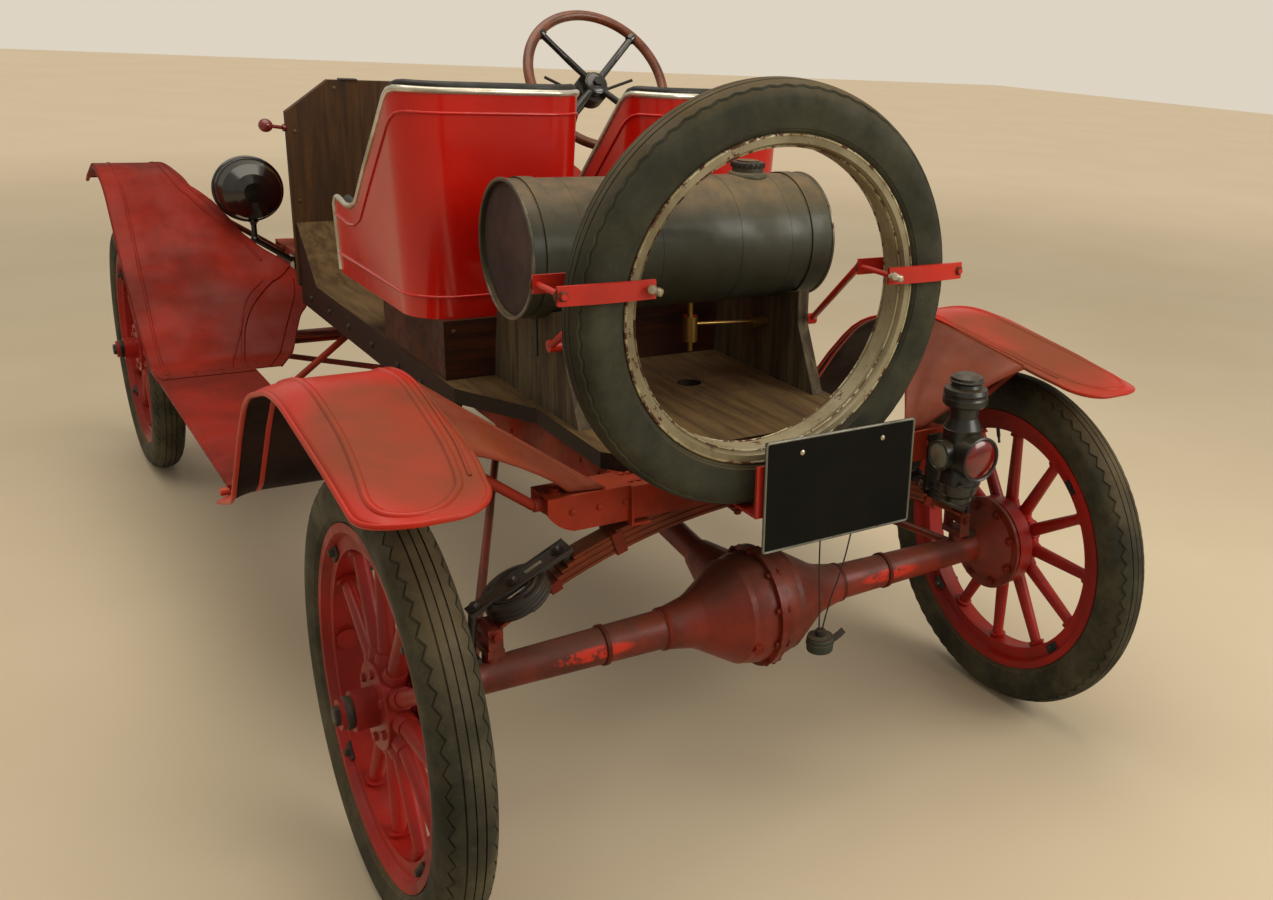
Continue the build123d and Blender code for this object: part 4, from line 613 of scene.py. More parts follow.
def make_tyre(name, node, body, centre, axis, outer, section, seat_r, bead, look, depth=1.0):
    u, v, w = axes_about(axis)
    shape = Shape()
    rings = []
    for k, (a, b) in enumerate(ring_of(1, TEETH * len(ZIGZAG))):
        way = u * a + v * b
        right, left = (
            tyre_section(section, seat_r, outer / 2, bead, (k + shift) % len(ZIGZAG), depth) for shift in (0, 2)
        )
        outline = right + [(-aside, radius) for aside, radius in reversed(left)]
        rings.append([centre + w * aside + way * radius for aside, radius in outline])
    shape.skin(rings, closed=True)
    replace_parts(shape.build(name, "tyre_rubber", [look], 28, body), node)


# Distances from a wheel's axis: hub bolts, feet and tips of the spokes, middle of the felloe
HUB_BOLTS = 58
SPOKE_FOOT = 70
SPOKE_TIP = 252
FELLOE = 283
HUB_FACE = 23  # how far the hub's face lies from the wheel's middle plane
VALVE = Vector((math.cos(1.3), 0, math.sin(1.3)))
for end, axle_x, bolted in (("rear", REAR_AXLE, (1,)), ("front", FRONT_AXLE, (1, -1))):
    for hand, side in SIDES:
        hub = Vector((axle_x, side * HALF_TRACK, HUB_HEIGHT))
        across = LEFT * side
        body = f"road_wheel_{end}_{hand}"
        make_tyre(f"tread_{end}_{hand}", f"tyre_{end}_{hand}", body, hub, across, 790, 90, 297.3, 29.6, "tyre")
        trim = Shape()
        for way in spokes(6, 0.5):
            for face in bolted:
                trim.bolt(hub + way * HUB_BOLTS + across * face * HUB_FACE, across * face, 8, 8)
        trim.spin([(0, 76.5), (3, 76.5), (4.5, 75)], hub + across * 22.5, across, 48)
        for way in spokes(12):
            trim.spin([(0, 19), (6, 17.5), (10, 15.5)], hub + way * SPOKE_TIP, way, 20)
            trim.spin([(0, 24), (10, 21), (24, 17.6)], hub + way * SPOKE_FOOT, way, 20)
        for way in spokes(4, 0.5):
            turned = Matrix((way.cross(across), way, across)).transposed()
            for face in (1, -1):
                trim.block(hub + way * FELLOE + across * face * HUB_FACE, (34, 30, 5), turned, 1)
                trim.bolt(hub + way * (FELLOE - 3) + across * face * (HUB_FACE + 2), across * face, 7, 8, 1)
        trim.spin([(0, 27), (8, 28.5), (12, 28.5), (14, 26.5)], hub + across * 62, across, 36, 2)
        trim.spin([(0, 17), (8, 17), (10, 15)], hub + across * 82, across, 6, 2)
        trim.spin([(0, 4.5), (24, 4.5), (24, 3.2), (38, 3.2)], hub + VALVE * 262, -VALVE, 12, 2)
        trim.build(f"wheel_trim_{end}_{hand}", "red_iron", ["wheel_red", "iron_black", "iron_black"], body=body)

LEAN = math.radians(3.5)
SPARE_AXIS = Vector((math.cos(LEAN), 0, math.sin(LEAN)))
make_tyre("tread_spare", "spare_tyre", "chassis", SPARE_HUB, SPARE_AXIS, 762, 84, 283.3, 27.6, "tyre_old", 0.4)

rim = Shape()
for face in (1, -1):
    for profile in (
        ((28, 292), (30.5, 295), (33, 294), (33.5, 291.5), (31.5, 290)),
        ((21, 272), (23, 270.6), (25, 272), (23, 274)),
    ):
        rim.hoop([(face * along, radius) for along, radius in profile], SPARE_HUB, SPARE_AXIS, 96)
rim.build("spare_rim_edges", "bare_rim", ["rim_edge"])

# Clamp fixings: side, height above the spare's middle, inner and outer ends
clamps = Shape()
for side, above, inner_end, outer_end in ((1, 50, 250, 415), (-1, 38, 224, 399)):
    middle = SPARE_HUB + Vector((-above * math.tan(LEAN), 0, above))
    inner = middle + Vector((-48, side * (inner_end + 8), 0))
    outer = middle + Vector((-46, side * (outer_end - 8), 0))
    clamps.spin([(0, 9), (9, 7.5)], inner, -AHEAD, 14, 1)
    for tilt in (-0.5, 0.5):
        way = Vector((-math.cos(tilt), math.sin(tilt) * 1.3, math.sin(tilt) * 0.5)).normalized()
        clamps.spin([(0, 4), (9, 7.5), (15, 6.5), (18, 0)], inner - AHEAD * 8, way, 12, 1)
    clamps.bolt(outer, -AHEAD, 9, 8, 2)
    for edge in (inner_end + 8, outer_end - 8):
        clamps.bolt(middle + Vector((47, side * edge, 0)), AHEAD, 8, 7, 2)
    outline = [(-1.8, -15.5), (1.8, -15.5), (2.4, -14), (2.4, 14), (1.8, 15.5), (-1.8, 15.5)]
    rings = []
    for k in range(13):
        bow, across = -49 - 5 * math.sin(math.pi * k / 12), inner_end + (outer_end - inner_end) * k / 12
        rings.append([middle + Vector((bow, side * across, 0)) + Vector((a, 0, b)) for a, b in outline])
    clamps.skin(rings)
clamps.build("spare_fixings", "red_iron", ["clamp_red", "bright_nut", "rust_nut"])


# Seats: bright edging, black roll, pressed beads

SEAT_REAR = -664.0
SEAT_FLOOR = 878.3
SEAT_TOP = 1382
SEAT_MIDDLE = 258.5
SEAT_HALF = 181.5
SEAT_FLARE = 22
SEAT_CORNER = 95
ARM_LINE = (
    (-100, 1342), (60, 1342), (84, 1334), (206, 1230), (294, 1156), (388, 1071), (430, 1055), (472, 1051),
    (553, 1061), (574, 1041), (578, 884),
)
ARM_RADII = (40, 30, 30, 30, 40, 30, 30, 22, 12, 8)
BEAD_LINE = ((-100, 1302), (58, 1302), (180, 1199), (268, 1124), (366, 1038), (417, 1017), (468, 1011), (576, 1022))


def seat_line(line, side, inset, lift=0.0):
    """Points round a seat from its inner front over the back, along a line seen from the side."""
    def place(x, z, across):
        return Vector((x, side * (SEAT_MIDDLE + across), z + lift))

    def flare(z):
        return SEAT_FLARE * (z - SEAT_FLOOR) / (SEAT_TOP - SEAT_FLOOR)

    corner_x = SEAT_REAR + SEAT_FLARE - flare(line[0].y) + SEAT_CORNER
    run = [(SEAT_REAR + p.x, p.y, SEAT_HALF + flare(p.y) - inset) for p in line if SEAT_REAR + p.x > corner_x + 4]
    for k in reversed(range(9)):
        turn = math.pi / 2 * k / 8
        x = corner_x - (SEAT_CORNER - inset) * math.sin(turn)
        z = height_at(line, x - SEAT_REAR)
        run.insert(8 - k, (x, z, SEAT_HALF + flare(z) - SEAT_CORNER + (SEAT_CORNER - inset) * math.cos(turn)))
    back_x, back_z, back = run[0]
    back_run = [place(back_x, back_z, back * share) for share in (-0.5, 0, 0.5)]
    return [place(x, z, -across) for x, z, across in reversed(run)] + back_run + [place(*p) for p in run]


arm_top = rounded(ARM_LINE, ARM_RADII, 9)
arm_roll = rounded((*ARM_LINE[:8], (500, 1054)), ARM_RADII[:7], 9)
upper_bead = rounded(BEAD_LINE, (60, 50, 50, 60, 60, 60))
lower_bead = rounded(((-100, 926), (577, 926)), (), 14)
for hand, side in SIDES:
    edge, roll, beads = Shape(), Shape(), Shape()
    edge.sweep(seat_line(arm_top, side, 2, 3), ring_of(7.2, 10))
    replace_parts(edge.build(f"seat_beading_{hand}", "bright_trim", ["edging"], 60), "seat_edgings")
    roll.sweep(seat_line(arm_roll, side, 12, 12), ring_of(9, 12))
    roll.build(f"seat_roll_{hand}", "black_leather", ["leather"], 60)
    for line in (upper_bead, lower_bead):
        beads.sweep(seat_line(line, side, -0.6), ring_of(3.4))
    beads.build(f"seat_beads_{hand}", "red_body", ["seat_red"], 60)


# Cushions swollen by cloth pressure, in metres

SHRINK = 0.006
BACK_HEIGHT = 1.1  # only the back rests reach above this
BACK_LIMITS = ((-0.005, 0.016), (-0.005, 0.005), (-0.004, 0.008))
BASE_LIMITS = ((-0.005, 0.008), (-0.005, 0.005), (-0.004, 0.022))
CHANNELS = (-0.12, -0.06, 0, 0.06, 0.12)


def connected(faces):
    """Faces gathered into the parts that hang together."""
    seen = set()
    parts = []
    for first in faces:
        if first in seen:
            continue
        seen.add(first)
        part = [first]
        for face in part:
            fresh = {other for edge in face.edges for other in edge.link_faces} - seen
            seen |= fresh
            part.extend(fresh)
        parts.append(part)
    return parts


def evaluated(piece):
    return piece.evaluated_get(bpy.context.evaluated_depsgraph_get())


def seat_pad(name, is_back):
    """One pad of the left seat from its CAD solid."""
    data = NODES["seat_cushions"].data.copy()
    work = bmesh.new()
    work.from_mesh(data)
    bmesh.ops.remove_doubles(work, verts=work.verts, dist=0.00002)
    others = []
    for part in connected(work.faces):
        spots = [v.co for face in part for v in face.verts]
        is_left = sum(s.y for s in spots) > 0
        if not is_left or (max(s.z for s in spots) > BACK_HEIGHT) != is_back:
            others.extend(part)
    bmesh.ops.delete(work, geom=others, context="FACES")
    low, high = (Vector([limit(v.co[i] for v in work.verts) for i in range(3)]) for limit in (min, max))
    middle = (low + high) / 2
    for vert in work.verts:
        for i in range(3):
            reach = (high[i] - low[i]) / 2
            vert.co[i] = middle[i] + (vert.co[i] - middle[i]) * (reach - SHRINK) / reach
    work.to_mesh(data)
    work.free()
    pad = added(name, data)
    bpy.context.view_layer.objects.active = pad
    pad.select_set(True)
    data.remesh_voxel_size = 0.008
    bpy.ops.object.voxel_remesh()
    pad.select_set(False)
    cloth = pad.modifiers.new("cloth", "CLOTH")
    cloth.settings.use_pressure = True
    cloth.settings.uniform_pressure_force = 4
    cloth.settings.effector_weights.gravity = 0
    for moment in range(1, 21):
        bpy.context.scene.frame_set(moment)
    swollen = [v.co.copy() for v in evaluated(pad).data.vertices]
    pad.modifiers.remove(cloth)
    bpy.context.scene.frame_set(1)
    for vert, new in zip(pad.data.vertices, swollen):
        for i, (low, high) in enumerate(BACK_LIMITS if is_back else BASE_LIMITS):
            vert.co[i] += max(low, min(high, new[i] - vert.co[i]))
    smooth = pad.modifiers.new("smooth", "SMOOTH")
    smooth.factor = 0.5
    smooth.iterations = 4
    finer = pad.modifiers.new("finer", "SUBSURF")
    finer.levels = finer.render_levels = 1
    final = bpy.data.meshes.new_from_object(evaluated(pad))
    bpy.data.objects.remove(pad)
    return final


def channel(data, is_back):
    """Sewn channels pressed into the pad's front or top."""
    normals = [v.normal.copy() for v in data.vertices]
    for vert, normal in zip(data.vertices, normals):
        x, y, z = vert.co
        groove = max(math.exp(-((y - SEAT_MIDDLE * 0.001 - line) / 0.005) ** 2) for line in CHANNELS)
        if is_back:
            facing = max(0.0, normal.x) * min(1.0, max(0.0, (1.318 - z) / 0.03))
            vert.co.x = x - 0.006 * groove * facing
        else:
            facing = max(0.0, normal.z) * min(1.0, max(0.0, (-0.115 - x) / 0.03))
            vert.co.z = z - 0.007 * groove * facing


for kind, is_back in (("seat_base", False), ("seat_back", True)):
    made = seat_pad(kind, is_back)
    channel(made, is_back)
    made.materials.clear()
    made.materials.append(looks["leather"])
    made.shade_smooth()
    for hand, side in SIDES:
        data = made.copy()
        if side < 0:
            data.transform(Matrix.Diagonal((1, -1, 1, 1)))
            data.flip_normals()
        pad = added(f"{kind}_{hand}", data)
        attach(pad, "chassis")
        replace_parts(pad, "seat_cushions")


# Fenders: rolled edges and pressed beads, each along the sheet's own side view

FRONT_SIDE = rounded(
    ((498, 500), (630, 500), (832, 619), (970, 721), (1190, 930), (1394, 975), (1635, 895)), (60, 150, 200, 250, 300)
)
FRONT_EDGE = curved((
    (1635, 620), (1383, 590), (1188, 550), (1132, 500), (1082, 466), (1039, 440), (998, 400),
    (958, 350), (906, 322), (811, 322), (758, 356), (642, 407), (498, 470),
))
FRONT_BEADS = (
    (((1628, 735), (1400, 737), (1150, 735), (900, 742), (700, 752), (560, 752), (505, 752)), 4.5),
    (((1610, 640), (1398, 614), (1205, 590), (1145, 558), (1089, 512), (1044, 470), (1013, 442), (960, 410)), 5.0),
    (((1622, 630), (1391, 598), (1200, 562), (1126, 514), (1063, 468), (1020, 424)), 4.0),
    (((935, 340), (905, 372), (880, 412), (820, 471), (742, 514), (665, 537), (580, 556), (505, 562)), 6.0),
    (((895, 425), (834, 486), (720, 531), (626, 571), (540, 592), (505, 598)), 4.0),
    (((892, 340), (840, 352), (768, 386), (660, 436), (560, 478), (505, 500)), 5.0),
)
REAR_SIDE = rounded(
    ((-400, 480), (-570, 540), (-710, 720), (-810, 830), (-1030, 900), (-1330, 860), (-1555, 822)),
    (150, 300, 250, 400, 300),
)
REAR_BEAD = (
    (-455, 752), (-560, 751), (-700, 751), (-860, 752), (-1000, 753), (-1145, 753), (-1271, 757), (-1387, 768),
    (-1460, 776), (-1504, 766), (-1524, 737), (-1519, 696), (-1488, 662), (-1448, 643), (-1345, 627), (-1221, 617),
    (-1103, 611), (-990, 612), (-900, 600), (-800, 590), (-700, 584), (-560, 580), (-455, 578),
)
REAR_INNER = curved(((-380, 545), (-560, 552), (-710, 566), (-947, 588), (-1194, 592), (-1376, 597), (-1480, 612)))
OUTER_Y = 803.0
FALL_WIDTH = 62
FALL_DEPTH = 15
TAIL_X = -1470.0
TAIL_R = 75.0
TAIL_STATIONS = [TAIL_X - TAIL_R * math.sin(math.pi / 2 * k / 12) for k in range(12)]
REAR_STATIONS = [p.x for p in REAR_SIDE if p.x > TAIL_X] + TAIL_STATIONS + [TAIL_X - TAIL_R * 0.9995]
APRON_FRONT = (Vector((-972, 590, 884)), Vector((-1304, 338, 722)))
APRON_REAR = curved(((-1382, 592, 855), (-1357, 540, 826), (-1332, 478, 786), (-1312, 430, 750), (-1298, 404, 722)), 5)


def rear_edges(x):
    """Inner and outer edge of a rear fender at one place."""
    pull = TAIL_R - math.sqrt(max(0.0, TAIL_R ** 2 - max(0.0, TAIL_X - x) ** 2))
    return height_at(REAR_INNER, max(x, TAIL_X)) + pull, OUTER_Y - pull


def front_height(x, y):
    """The upper face of a front fender, level across."""
    return height_at(FRONT_SIDE, x)


def rear_height(x, y):
    """The upper face of a rear fender, falling away towards its outer edge."""
    fall = max(0.0, 1 - (OUTER_Y - y) / FALL_WIDTH) ** 2 * FALL_DEPTH
    return height_at(REAR_SIDE, x) + 1.5 - fall


def laid(height, plan, side, lift=0.0, aside=0.0):
    """A plan line laid on a fender's upper face, moved up and outwards."""
    return [Vector((x, side * (y + aside), height(x, y) + lift)) for x, y in plan]


def apron_point(u, v, aft):
    """A point of a rear fender's apron, a share of the way down and a share of the way back."""
    top = APRON_FRONT[0].lerp(APRON_REAR[0], v)
    edge_y = rear_edges(top.x)[0] + 2
    edge = Vector((top.x, edge_y, rear_height(top.x, edge_y) - 1))
    point = APRON_FRONT[0].lerp(APRON_FRONT[1], u).lerp(aft, v) + (edge - top) * (1 - u) ** 2
    point.z += 9 * math.exp(-((v - 0.45) / 0.12) ** 2) * (1 - abs(2 * u - 1) ** 3)
    return point


for hand, side in SIDES:
    front = Shape()
    front.sweep([(x, side * 778, z - 12) for x, z in FRONT_SIDE], ring_of(5.5))
    front.sweep(laid(front_height, FRONT_EDGE, side, 0, 2), ring_of(3.6))
    nose_z = height_at(FRONT_SIDE, 1634)
    front.sweep([(1635, side * y, nose_z) for y in range(622, 779, 12)], ring_of(5.5))
    for points, radius in FRONT_BEADS:
        front.sweep(laid(front_height, curved(points), side, 1), ring_of(radius, 8, 0.72))
    front.sweep([(x, side * 779, 494) for x in range(-400, 490, 20)], ring_of(5))
    front.block((493, side * 659, 501.4), (42, 234, 4))
    for y in (560, 626, 692, 758):
        for x in (481, 506):
            front.rivet((x, side * y, 503), UP, 5)
    front.build(f"front_fender_trim_{hand}", "red_body", ["fender_red"], 60)

    skin = Shape()
    rows = []
    for x in REAR_STATIONS:
        inner, outer = rear_edges(x)
        rows.append(laid(rear_height, [(x, inner + (outer - inner) * k / 26) for k in range(27)], side))
    skin.sheet(rows)
    rows = []
    for k, aft in enumerate(APRON_REAR):
        points = [apron_point(k / 20, m / 12, aft) for m in range(13)]
        rows.append([Vector((x, side * y, z)) for x, y, z in points])
    skin.sheet(rows, 1)
    sheet = skin.build(f"rear_fender_sheet_{hand}", "red_body", ["rear_red", "apron_red", "under", "under"], 50)
    if sum(f.normal.z * f.area for f in sheet.data.polygons) < 0:
        sheet.data.flip_normals()
    thick = sheet.modifiers.new("sheet", "SOLIDIFY")
    thick.thickness = 0.003
    thick.offset = -1
    thick.material_offset = 2
    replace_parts(sheet, f"rear_fender_{hand}")

    rear = Shape()
    border = [(x, rear_edges(x)[1]) for x in REAR_STATIONS]
    border += [(x, rear_edges(x)[0]) for x in reversed(REAR_STATIONS) if x < -1370]
    rear.sweep(laid(rear_height, border, side, -4), ring_of(5.2))
    fold = [(x, y) for x, y in REAR_INNER if -965 < x < -400]
    rear.sweep(laid(rear_height, fold, side, 0, 2), ring_of(4))
    second = [(x, y - 18) for x, y in REAR_BEAD[13:19]]
    for points, radius, flat in ((REAR_BEAD, 6.4, 0.7), (second, 3.6, 1)):
        rear.sweep(laid(rear_height, curved(points), side, -0.5), ring_of(radius, 8, flat))
    # The front lip takes the lighter red: a painted highlight where light catches the rolled edge
    rear.sweep([(-398, side * y, 484) for y in range(548, 806, 10)], ring_of(9, 10), tone=1)
    rear.build(f"rear_fender_trim_{hand}", "red_body", ["rear_red", "pale_red"], 60)


# Tank: rolled end rims, sunk discs, filler cap and seams

TANK_R = 133
tank = Shape()
for side in (1, -1):
    across = LEFT * side
    end = TANK + across * 341
    tank.hoop([(-5, 133.5), (-3, 136.5), (1, 136.8), (2.4, 134), (1.6, 130.5), (-3, 129)], end, across, 72, 1)
    tank.spin([(-12, 129), (-8.4, 129), (-7.2, 124), (-6.6, 60), (-6, 0)], end, across, 72, 2)
    for at, high in ((308, 1.6), (235, 0.9)):
        crest = TANK_R + 0.6 + high
        seam = [(-2.4, TANK_R), (-1.4, crest), (1.4, crest), (2.4, TANK_R)]
        tank.hoop(seam, TANK + across * at, across, 72)
for at in (-112, 70):
    tank.hoop([(-1.6, TANK_R), (-0.8, 134.7), (0.8, 134.7), (1.6, TANK_R)], TANK + LEFT * at, LEFT, 72)
cap = TANK + Vector((0, -200, 134))
tank.hoop([(-8, 41), (-4, 43), (3, 41), (6, 37), (6, 30), (-8, 30)], cap, UP, 40)
tank.spin([(14, 33), (17, 35.5), (24, 35.5), (27, 33)], cap, UP, 40, 3)
for way in spokes(20):
    tank.spin([(0, 2.6), (10, 2.6)], cap + way.xzy * 35 + UP * 15.5, UP, 8, 3)
tank.build("tank_trim", "tank_metal", ["tank", "tank_edge", "tank_end", "iron_black"], 40)


# Plate, lamps and board fittings

plate = Shape()
corners = ((-168, 0), (-168, -105), (168, -105), (168, 105), (-168, 105), (-168, 0))
border = [PLATE + Vector((-1.2, y, z)) for y, z in rounded(corners, (5, 5, 5, 5), 40)[:-1]]
plate.sweep(border, ring_of(2.4), closed=True, tone=1)
for y in (-92, 92):
    plate.rivet(PLATE + Vector((-1.6, y, 78)), -AHEAD, 5.5, 2)
plate.block(PLATE - AHEAD * 1.7, (1.2, 330, 204), edge=0.4)
plate.build("plate_face", "black_metal", ["plate", "plate_edge", "bright_nut"])

lamp = Shape()
lamp.hoop([(58, 44), (60, 48), (64, 48), (66, 45), (64, 42), (60, 42)], TAIL_LAMP, -AHEAD, 48)
lamp.spin([(58, 0), (61, 42), (66, 34), (69, 20), (70, 0)], TAIL_LAMP, -AHEAD, 40, 1)
lamp.hoop([(56, 28), (57, 32), (61, 32), (63, 29), (61, 27), (58, 27)], TAIL_LAMP, LEFT, 40)
lamp.spin([(57, 0), (60, 27), (63, 20), (65, 0)], TAIL_LAMP, LEFT, 32, 2)
for height, radius in ((102, 41), (124, 45.5), (154, 35.5), (-66, 46.5), (-20, 41), (52, 41)):
    rib = [(-2, radius - 1), (-1, radius + 1), (1, radius + 1), (2, radius - 1)]
    lamp.hoop(rib, TAIL_LAMP + UP * height, UP, 48)
lamp.spin([(0, 6), (5, 7), (9, 5)], TAIL_LAMP + Vector((-40, 30, -60)), (-0.7, 0.7, 0), 14)
lamp.build("tail_lamp_trim", "black_metal", ["black", "ruby", "clear"])

hanging = Shape()
case = [(-16, 23), (-13, 26), (10, 26.5), (14, 24), (15, 20), (16, 0)]
hanging.spin(case, HANGING_LAMP, UP, 36)
hanging.hoop([(-2, 25.8), (-1, 27.6), (2, 27.6), (3, 25.8)], HANGING_LAMP, UP, 36)
strap = [HANGING_LAMP + Vector((0, y, z)) for y, z in ((-24, -2), (-34, 0), (-48, 6), (-56, 12))]
hanging.sweep(strap, [(-1.2, -8), (1.2, -8), (1.2, 8), (-1.2, 8)], tone=1)
hanging.build("hanging_lamp_case", "black_metal", ["lamp_green", "iron_black"])

for hand, side in SIDES:
    head = Shape()
    bowl = Vector((985, side * 405, 919))
    head.hoop([(88, 99), (91, 102.5), (98, 103), (101, 100.5), (99, 96), (92, 96)], bowl, AHEAD, 64)
    head.spin([(96, 0), (97.5, 96), (101, 80), (104, 48), (105, 0)], bowl, AHEAD, 48, 1)
    head.hoop([(66, 93), (67, 97), (70, 97), (71, 94)], bowl, AHEAD, 64)
    head.bolt(bowl + Vector((60, 0, -96)), -UP, 10, 10)
    head.build(f"headlamp_rim_{hand}", "black_metal", ["black_gloss", "clear"])

DASH_REAR = 530
board = Shape()
for side in (-1, 1):
    for y, z in ((380, 1150), (380, 960), (380, 790), (270, 1268)):
        board.rivet((DASH_REAR, side * y, z), -AHEAD, 5)
    for x in (420, 240, 60, -140, -340, -500, -640):
        board.rivet((x, side * 395, 706), LEFT * side, 8, 1)
    for z in (735, 855):
        board.rivet((-654, side * 370, z), -AHEAD, 5)
for y, z in ((160, 1100), (160, 960), (-160, 1100), (0, 1262)):
    board.rivet((DASH_REAR, y, z), -AHEAD, 4.5)
board.block((542.5, 230, 1291), (34, 46, 5), tone=1)
board.build("board_screws", "brown_board", ["board_screw", "iron_black"])


# Rear axle, springs and coil dampers


def leaf_at(spring, at):
    """Height and slope of a spring's arc at a distance from the middle."""
    crown, span, end = spring
    return crown - (crown - end) * (at / span) ** 2, 2 * (crown - end) * at / span ** 2


DIFF = Vector((REAR_AXLE, 0, HUB_HEIGHT))
BRAKE_FACE = 630
axle = Shape()
for way in spokes(10, 0.5):
    for face in (1, -1):
        axle.bolt(DIFF + way * 116 + LEFT * face * 8, LEFT * face)
bell = [(-212, 38.2), (-208, 41), (-190, 43), (-150, 52), (-118, 67), (-92, 85), (-66, 101), (-40, 110), (-16, 113.5)]
axle.spin(bell + [(-y, r) for y, r in reversed(bell)], DIFF, LEFT, 56, 2)
plug, plug_axis = DIFF + Vector((-88, 44, -36)), (-0.86, 0.3, -0.42)
axle.spin([(0, 20), (9, 19)], plug, plug_axis, 24)
axle.spin([(4, 12), (20, 11)], plug, plug_axis, 6)
drain = [(-6, 15), (12, 15), (14, 13)]
axle.spin(drain, DIFF + Vector((-30, -36, -108)), (-0.2, -0.2, -1), 6)
for side in (1, -1):
    across = LEFT * side
    for at, radius in ((205, 42), (330, 39)):
        axle.hoop([(-5, 36), (-4, radius), (4, radius), (5, 36)], DIFF + across * at, across, 40)
    for way in spokes(8, 0.5):
        axle.bolt(DIFF + way * 90 + across * BRAKE_FACE, -across, 7, 6)
    for lift in (1, -1):
        axle.bolt((REAR_AXLE - 29 * lift, side * REAR_SPRING[1], REAR_SPRING[2]), AHEAD * -lift, 8, 7)
axle.build("axle_bolts", "red_iron", ["iron_red", "iron_red", "axle_red"], 50)

springs = Shape()
for axle_x, crown in ((REAR_AXLE, REAR_SPRING[0]), (FRONT_AXLE, FRONT_SPRING[0])):
    springs.block((axle_x, 0, crown - 5), (66, 150, 9))
    for y in (-60, 60):
        for x in (axle_x - 27, axle_x + 27):
            springs.sweep([(x, y, crown - 20), (x, y, crown + 44)], ring_of(5))
            springs.bolt((x, y, crown - 10), -UP, 8, 8)
for axle_x, spring, at, thick in (
    (REAR_AXLE, REAR_SPRING, 300, 44), (REAR_AXLE, REAR_SPRING, 425, 20), (FRONT_AXLE, FRONT_SPRING, 290, 32),
):
    z, slope = leaf_at(spring, at)
    for side in (1, -1):
        turn = Matrix.Rotation(-side * math.atan(slope), 3, "X")
        clip = Vector((axle_x, side * at, z)) + turn @ Vector((0, 0, thick / 2 - 3))
        springs.block(clip, (52, 22, thick), turn)
crown, span, end_z = REAR_SPRING
bow = (span ** 2 + (crown - end_z) ** 2) / (2 * (crown - end_z))
for stage, half in enumerate((span, 500, 418, 406, 394, 380, 300, 205)):
    wide = AHEAD * (23.2 if stage % 2 == 0 else 21.2)
    rings = []
    for k in range(41):
        a = math.asin(half / bow) * (k / 20 - 1)
        out = Vector((0, math.sin(a), math.cos(a)))
        low, high = (Vector((REAR_AXLE, 0, crown - bow)) + out * (bow + 6 * stage + r) for r in (-0.1, 5.7))
        rings.append([low - wide, low + wide, high + wide, high - wide])
    springs.skin(rings, tone=1)
springs.build("spring_bolts", "red_iron", ["iron_red", "leaf_red"], 40)

DAMPER_AT = 478
dampers = Shape()
leaf_z, slope = leaf_at(REAR_SPRING, DAMPER_AT)
for side in (1, -1):
    off = Vector((0, side * slope, 1)).normalized()
    up_leaf = Vector((0, -side, slope)).normalized()
    u, v = axes_about(off)[:2]
    root = Vector((REAR_AXLE, side * DAMPER_AT, leaf_z)) + off * 15

    def coil(count, turns, rise, radius):
        """A path round the damper; rise and radius each have a start and a change."""
        path = []
        for k in range(count + 1):
            share, a = k / count, math.tau * turns * k / count
            away = radius[0] + radius[1] * share
            path.append(root + off * (rise[0] + rise[1] * share) + (u * math.cos(a) + v * math.sin(a)) * away)
        return path

    dampers.sweep(coil(96, 4, (2, 27), (56.5, -2)), ring_of(4.4))
    dampers.sweep(coil(48, 2, (30, 0), (35, 17)), ring_of(4))
    top = root + off * 38
    for at in (-70, 6, 96):
        dampers.bolt(top + up_leaf * at, off, 8, 8)
    dampers.sweep([top + up_leaf * (30 + 34 * k / 6) - off * 0.6 for k in range(7)], ring_of(5, 8, 0.3), tone=1)
    for face in (-1, 1):
        rail = [(face * (15 if k < 2 else 22), -84 + 40.4 * k) for k in range(6)]
        dampers.sweep([top - off * 2 + AHEAD * x + up_leaf * at for x, at in rail], ring_of(3.2))
dampers.build("damper_coils", "black_metal", ["iron_black", "bright_nut"])


# Frame rivets and bolts

rivets = Shape()
for side in (1, -1):
    across = LEFT * side
    for x in (-20, 20):
        for y in (268, 282):
            rivets.rivet((REAR_AXLE + x, side * y, FRAME_TOP), UP)
    for y, z in ((120, 700), (300, 688), (350, 688), (400, 688)):
        rivets.rivet((REAR_AXLE - 37, side * y, z), -AHEAD, 6.5)
    rivets.bolt((REAR_AXLE - 6, side * 420, FRAME_TOP), UP, 9, 7)
    rivets.bolt((REAR_AXLE + 14, side * 370, FRAME_TOP), UP, 8, 6)
    for x in (-1180, -1100, -760, -270, -230, 290, 330, 880, 1150, FRONT_AXLE):
        for z in (700, 655):
            rivets.rivet((x, side * 292, z), across)
    for x in (-270, 290):
        for z in (660, 692):
            rivets.bolt((x, side * 302, z), across, 8, 7)
rivets.build("frame_rivets", "red_iron", ["frame_red"])


# Radiator face, hood catches and steering spider

core = Shape()
for y in range(-210, 211, 15):
    core.sweep([(1259, y, 770), (1259, y, 1112 - 26 * (y / 210) ** 2)], ring_of(3.2, 6))
for z in range(775, 1085, 10):
    core.block((1257.5, 0, z), (4, 424, 1.4), edge=0.3)
shell = ((-232, 735), (-232, 1096), (-120, 1152), (120, 1152), (232, 1096), (232, 735), (-232, 735))
shell = [(1260, y, z) for y, z in rounded(shell, (40, 160, 160, 40, 8), 12)[:-1]]
core.sweep(shell, ring_of(6), closed=True, tone=1)
core.spin([(0, 34), (4, 37), (14, 37), (18, 33), (20, 0)], (1210, 0, 1196), UP, 32, 1)
core.build("radiator_core", "brass_metal", ["iron_black", "brass"], 40)

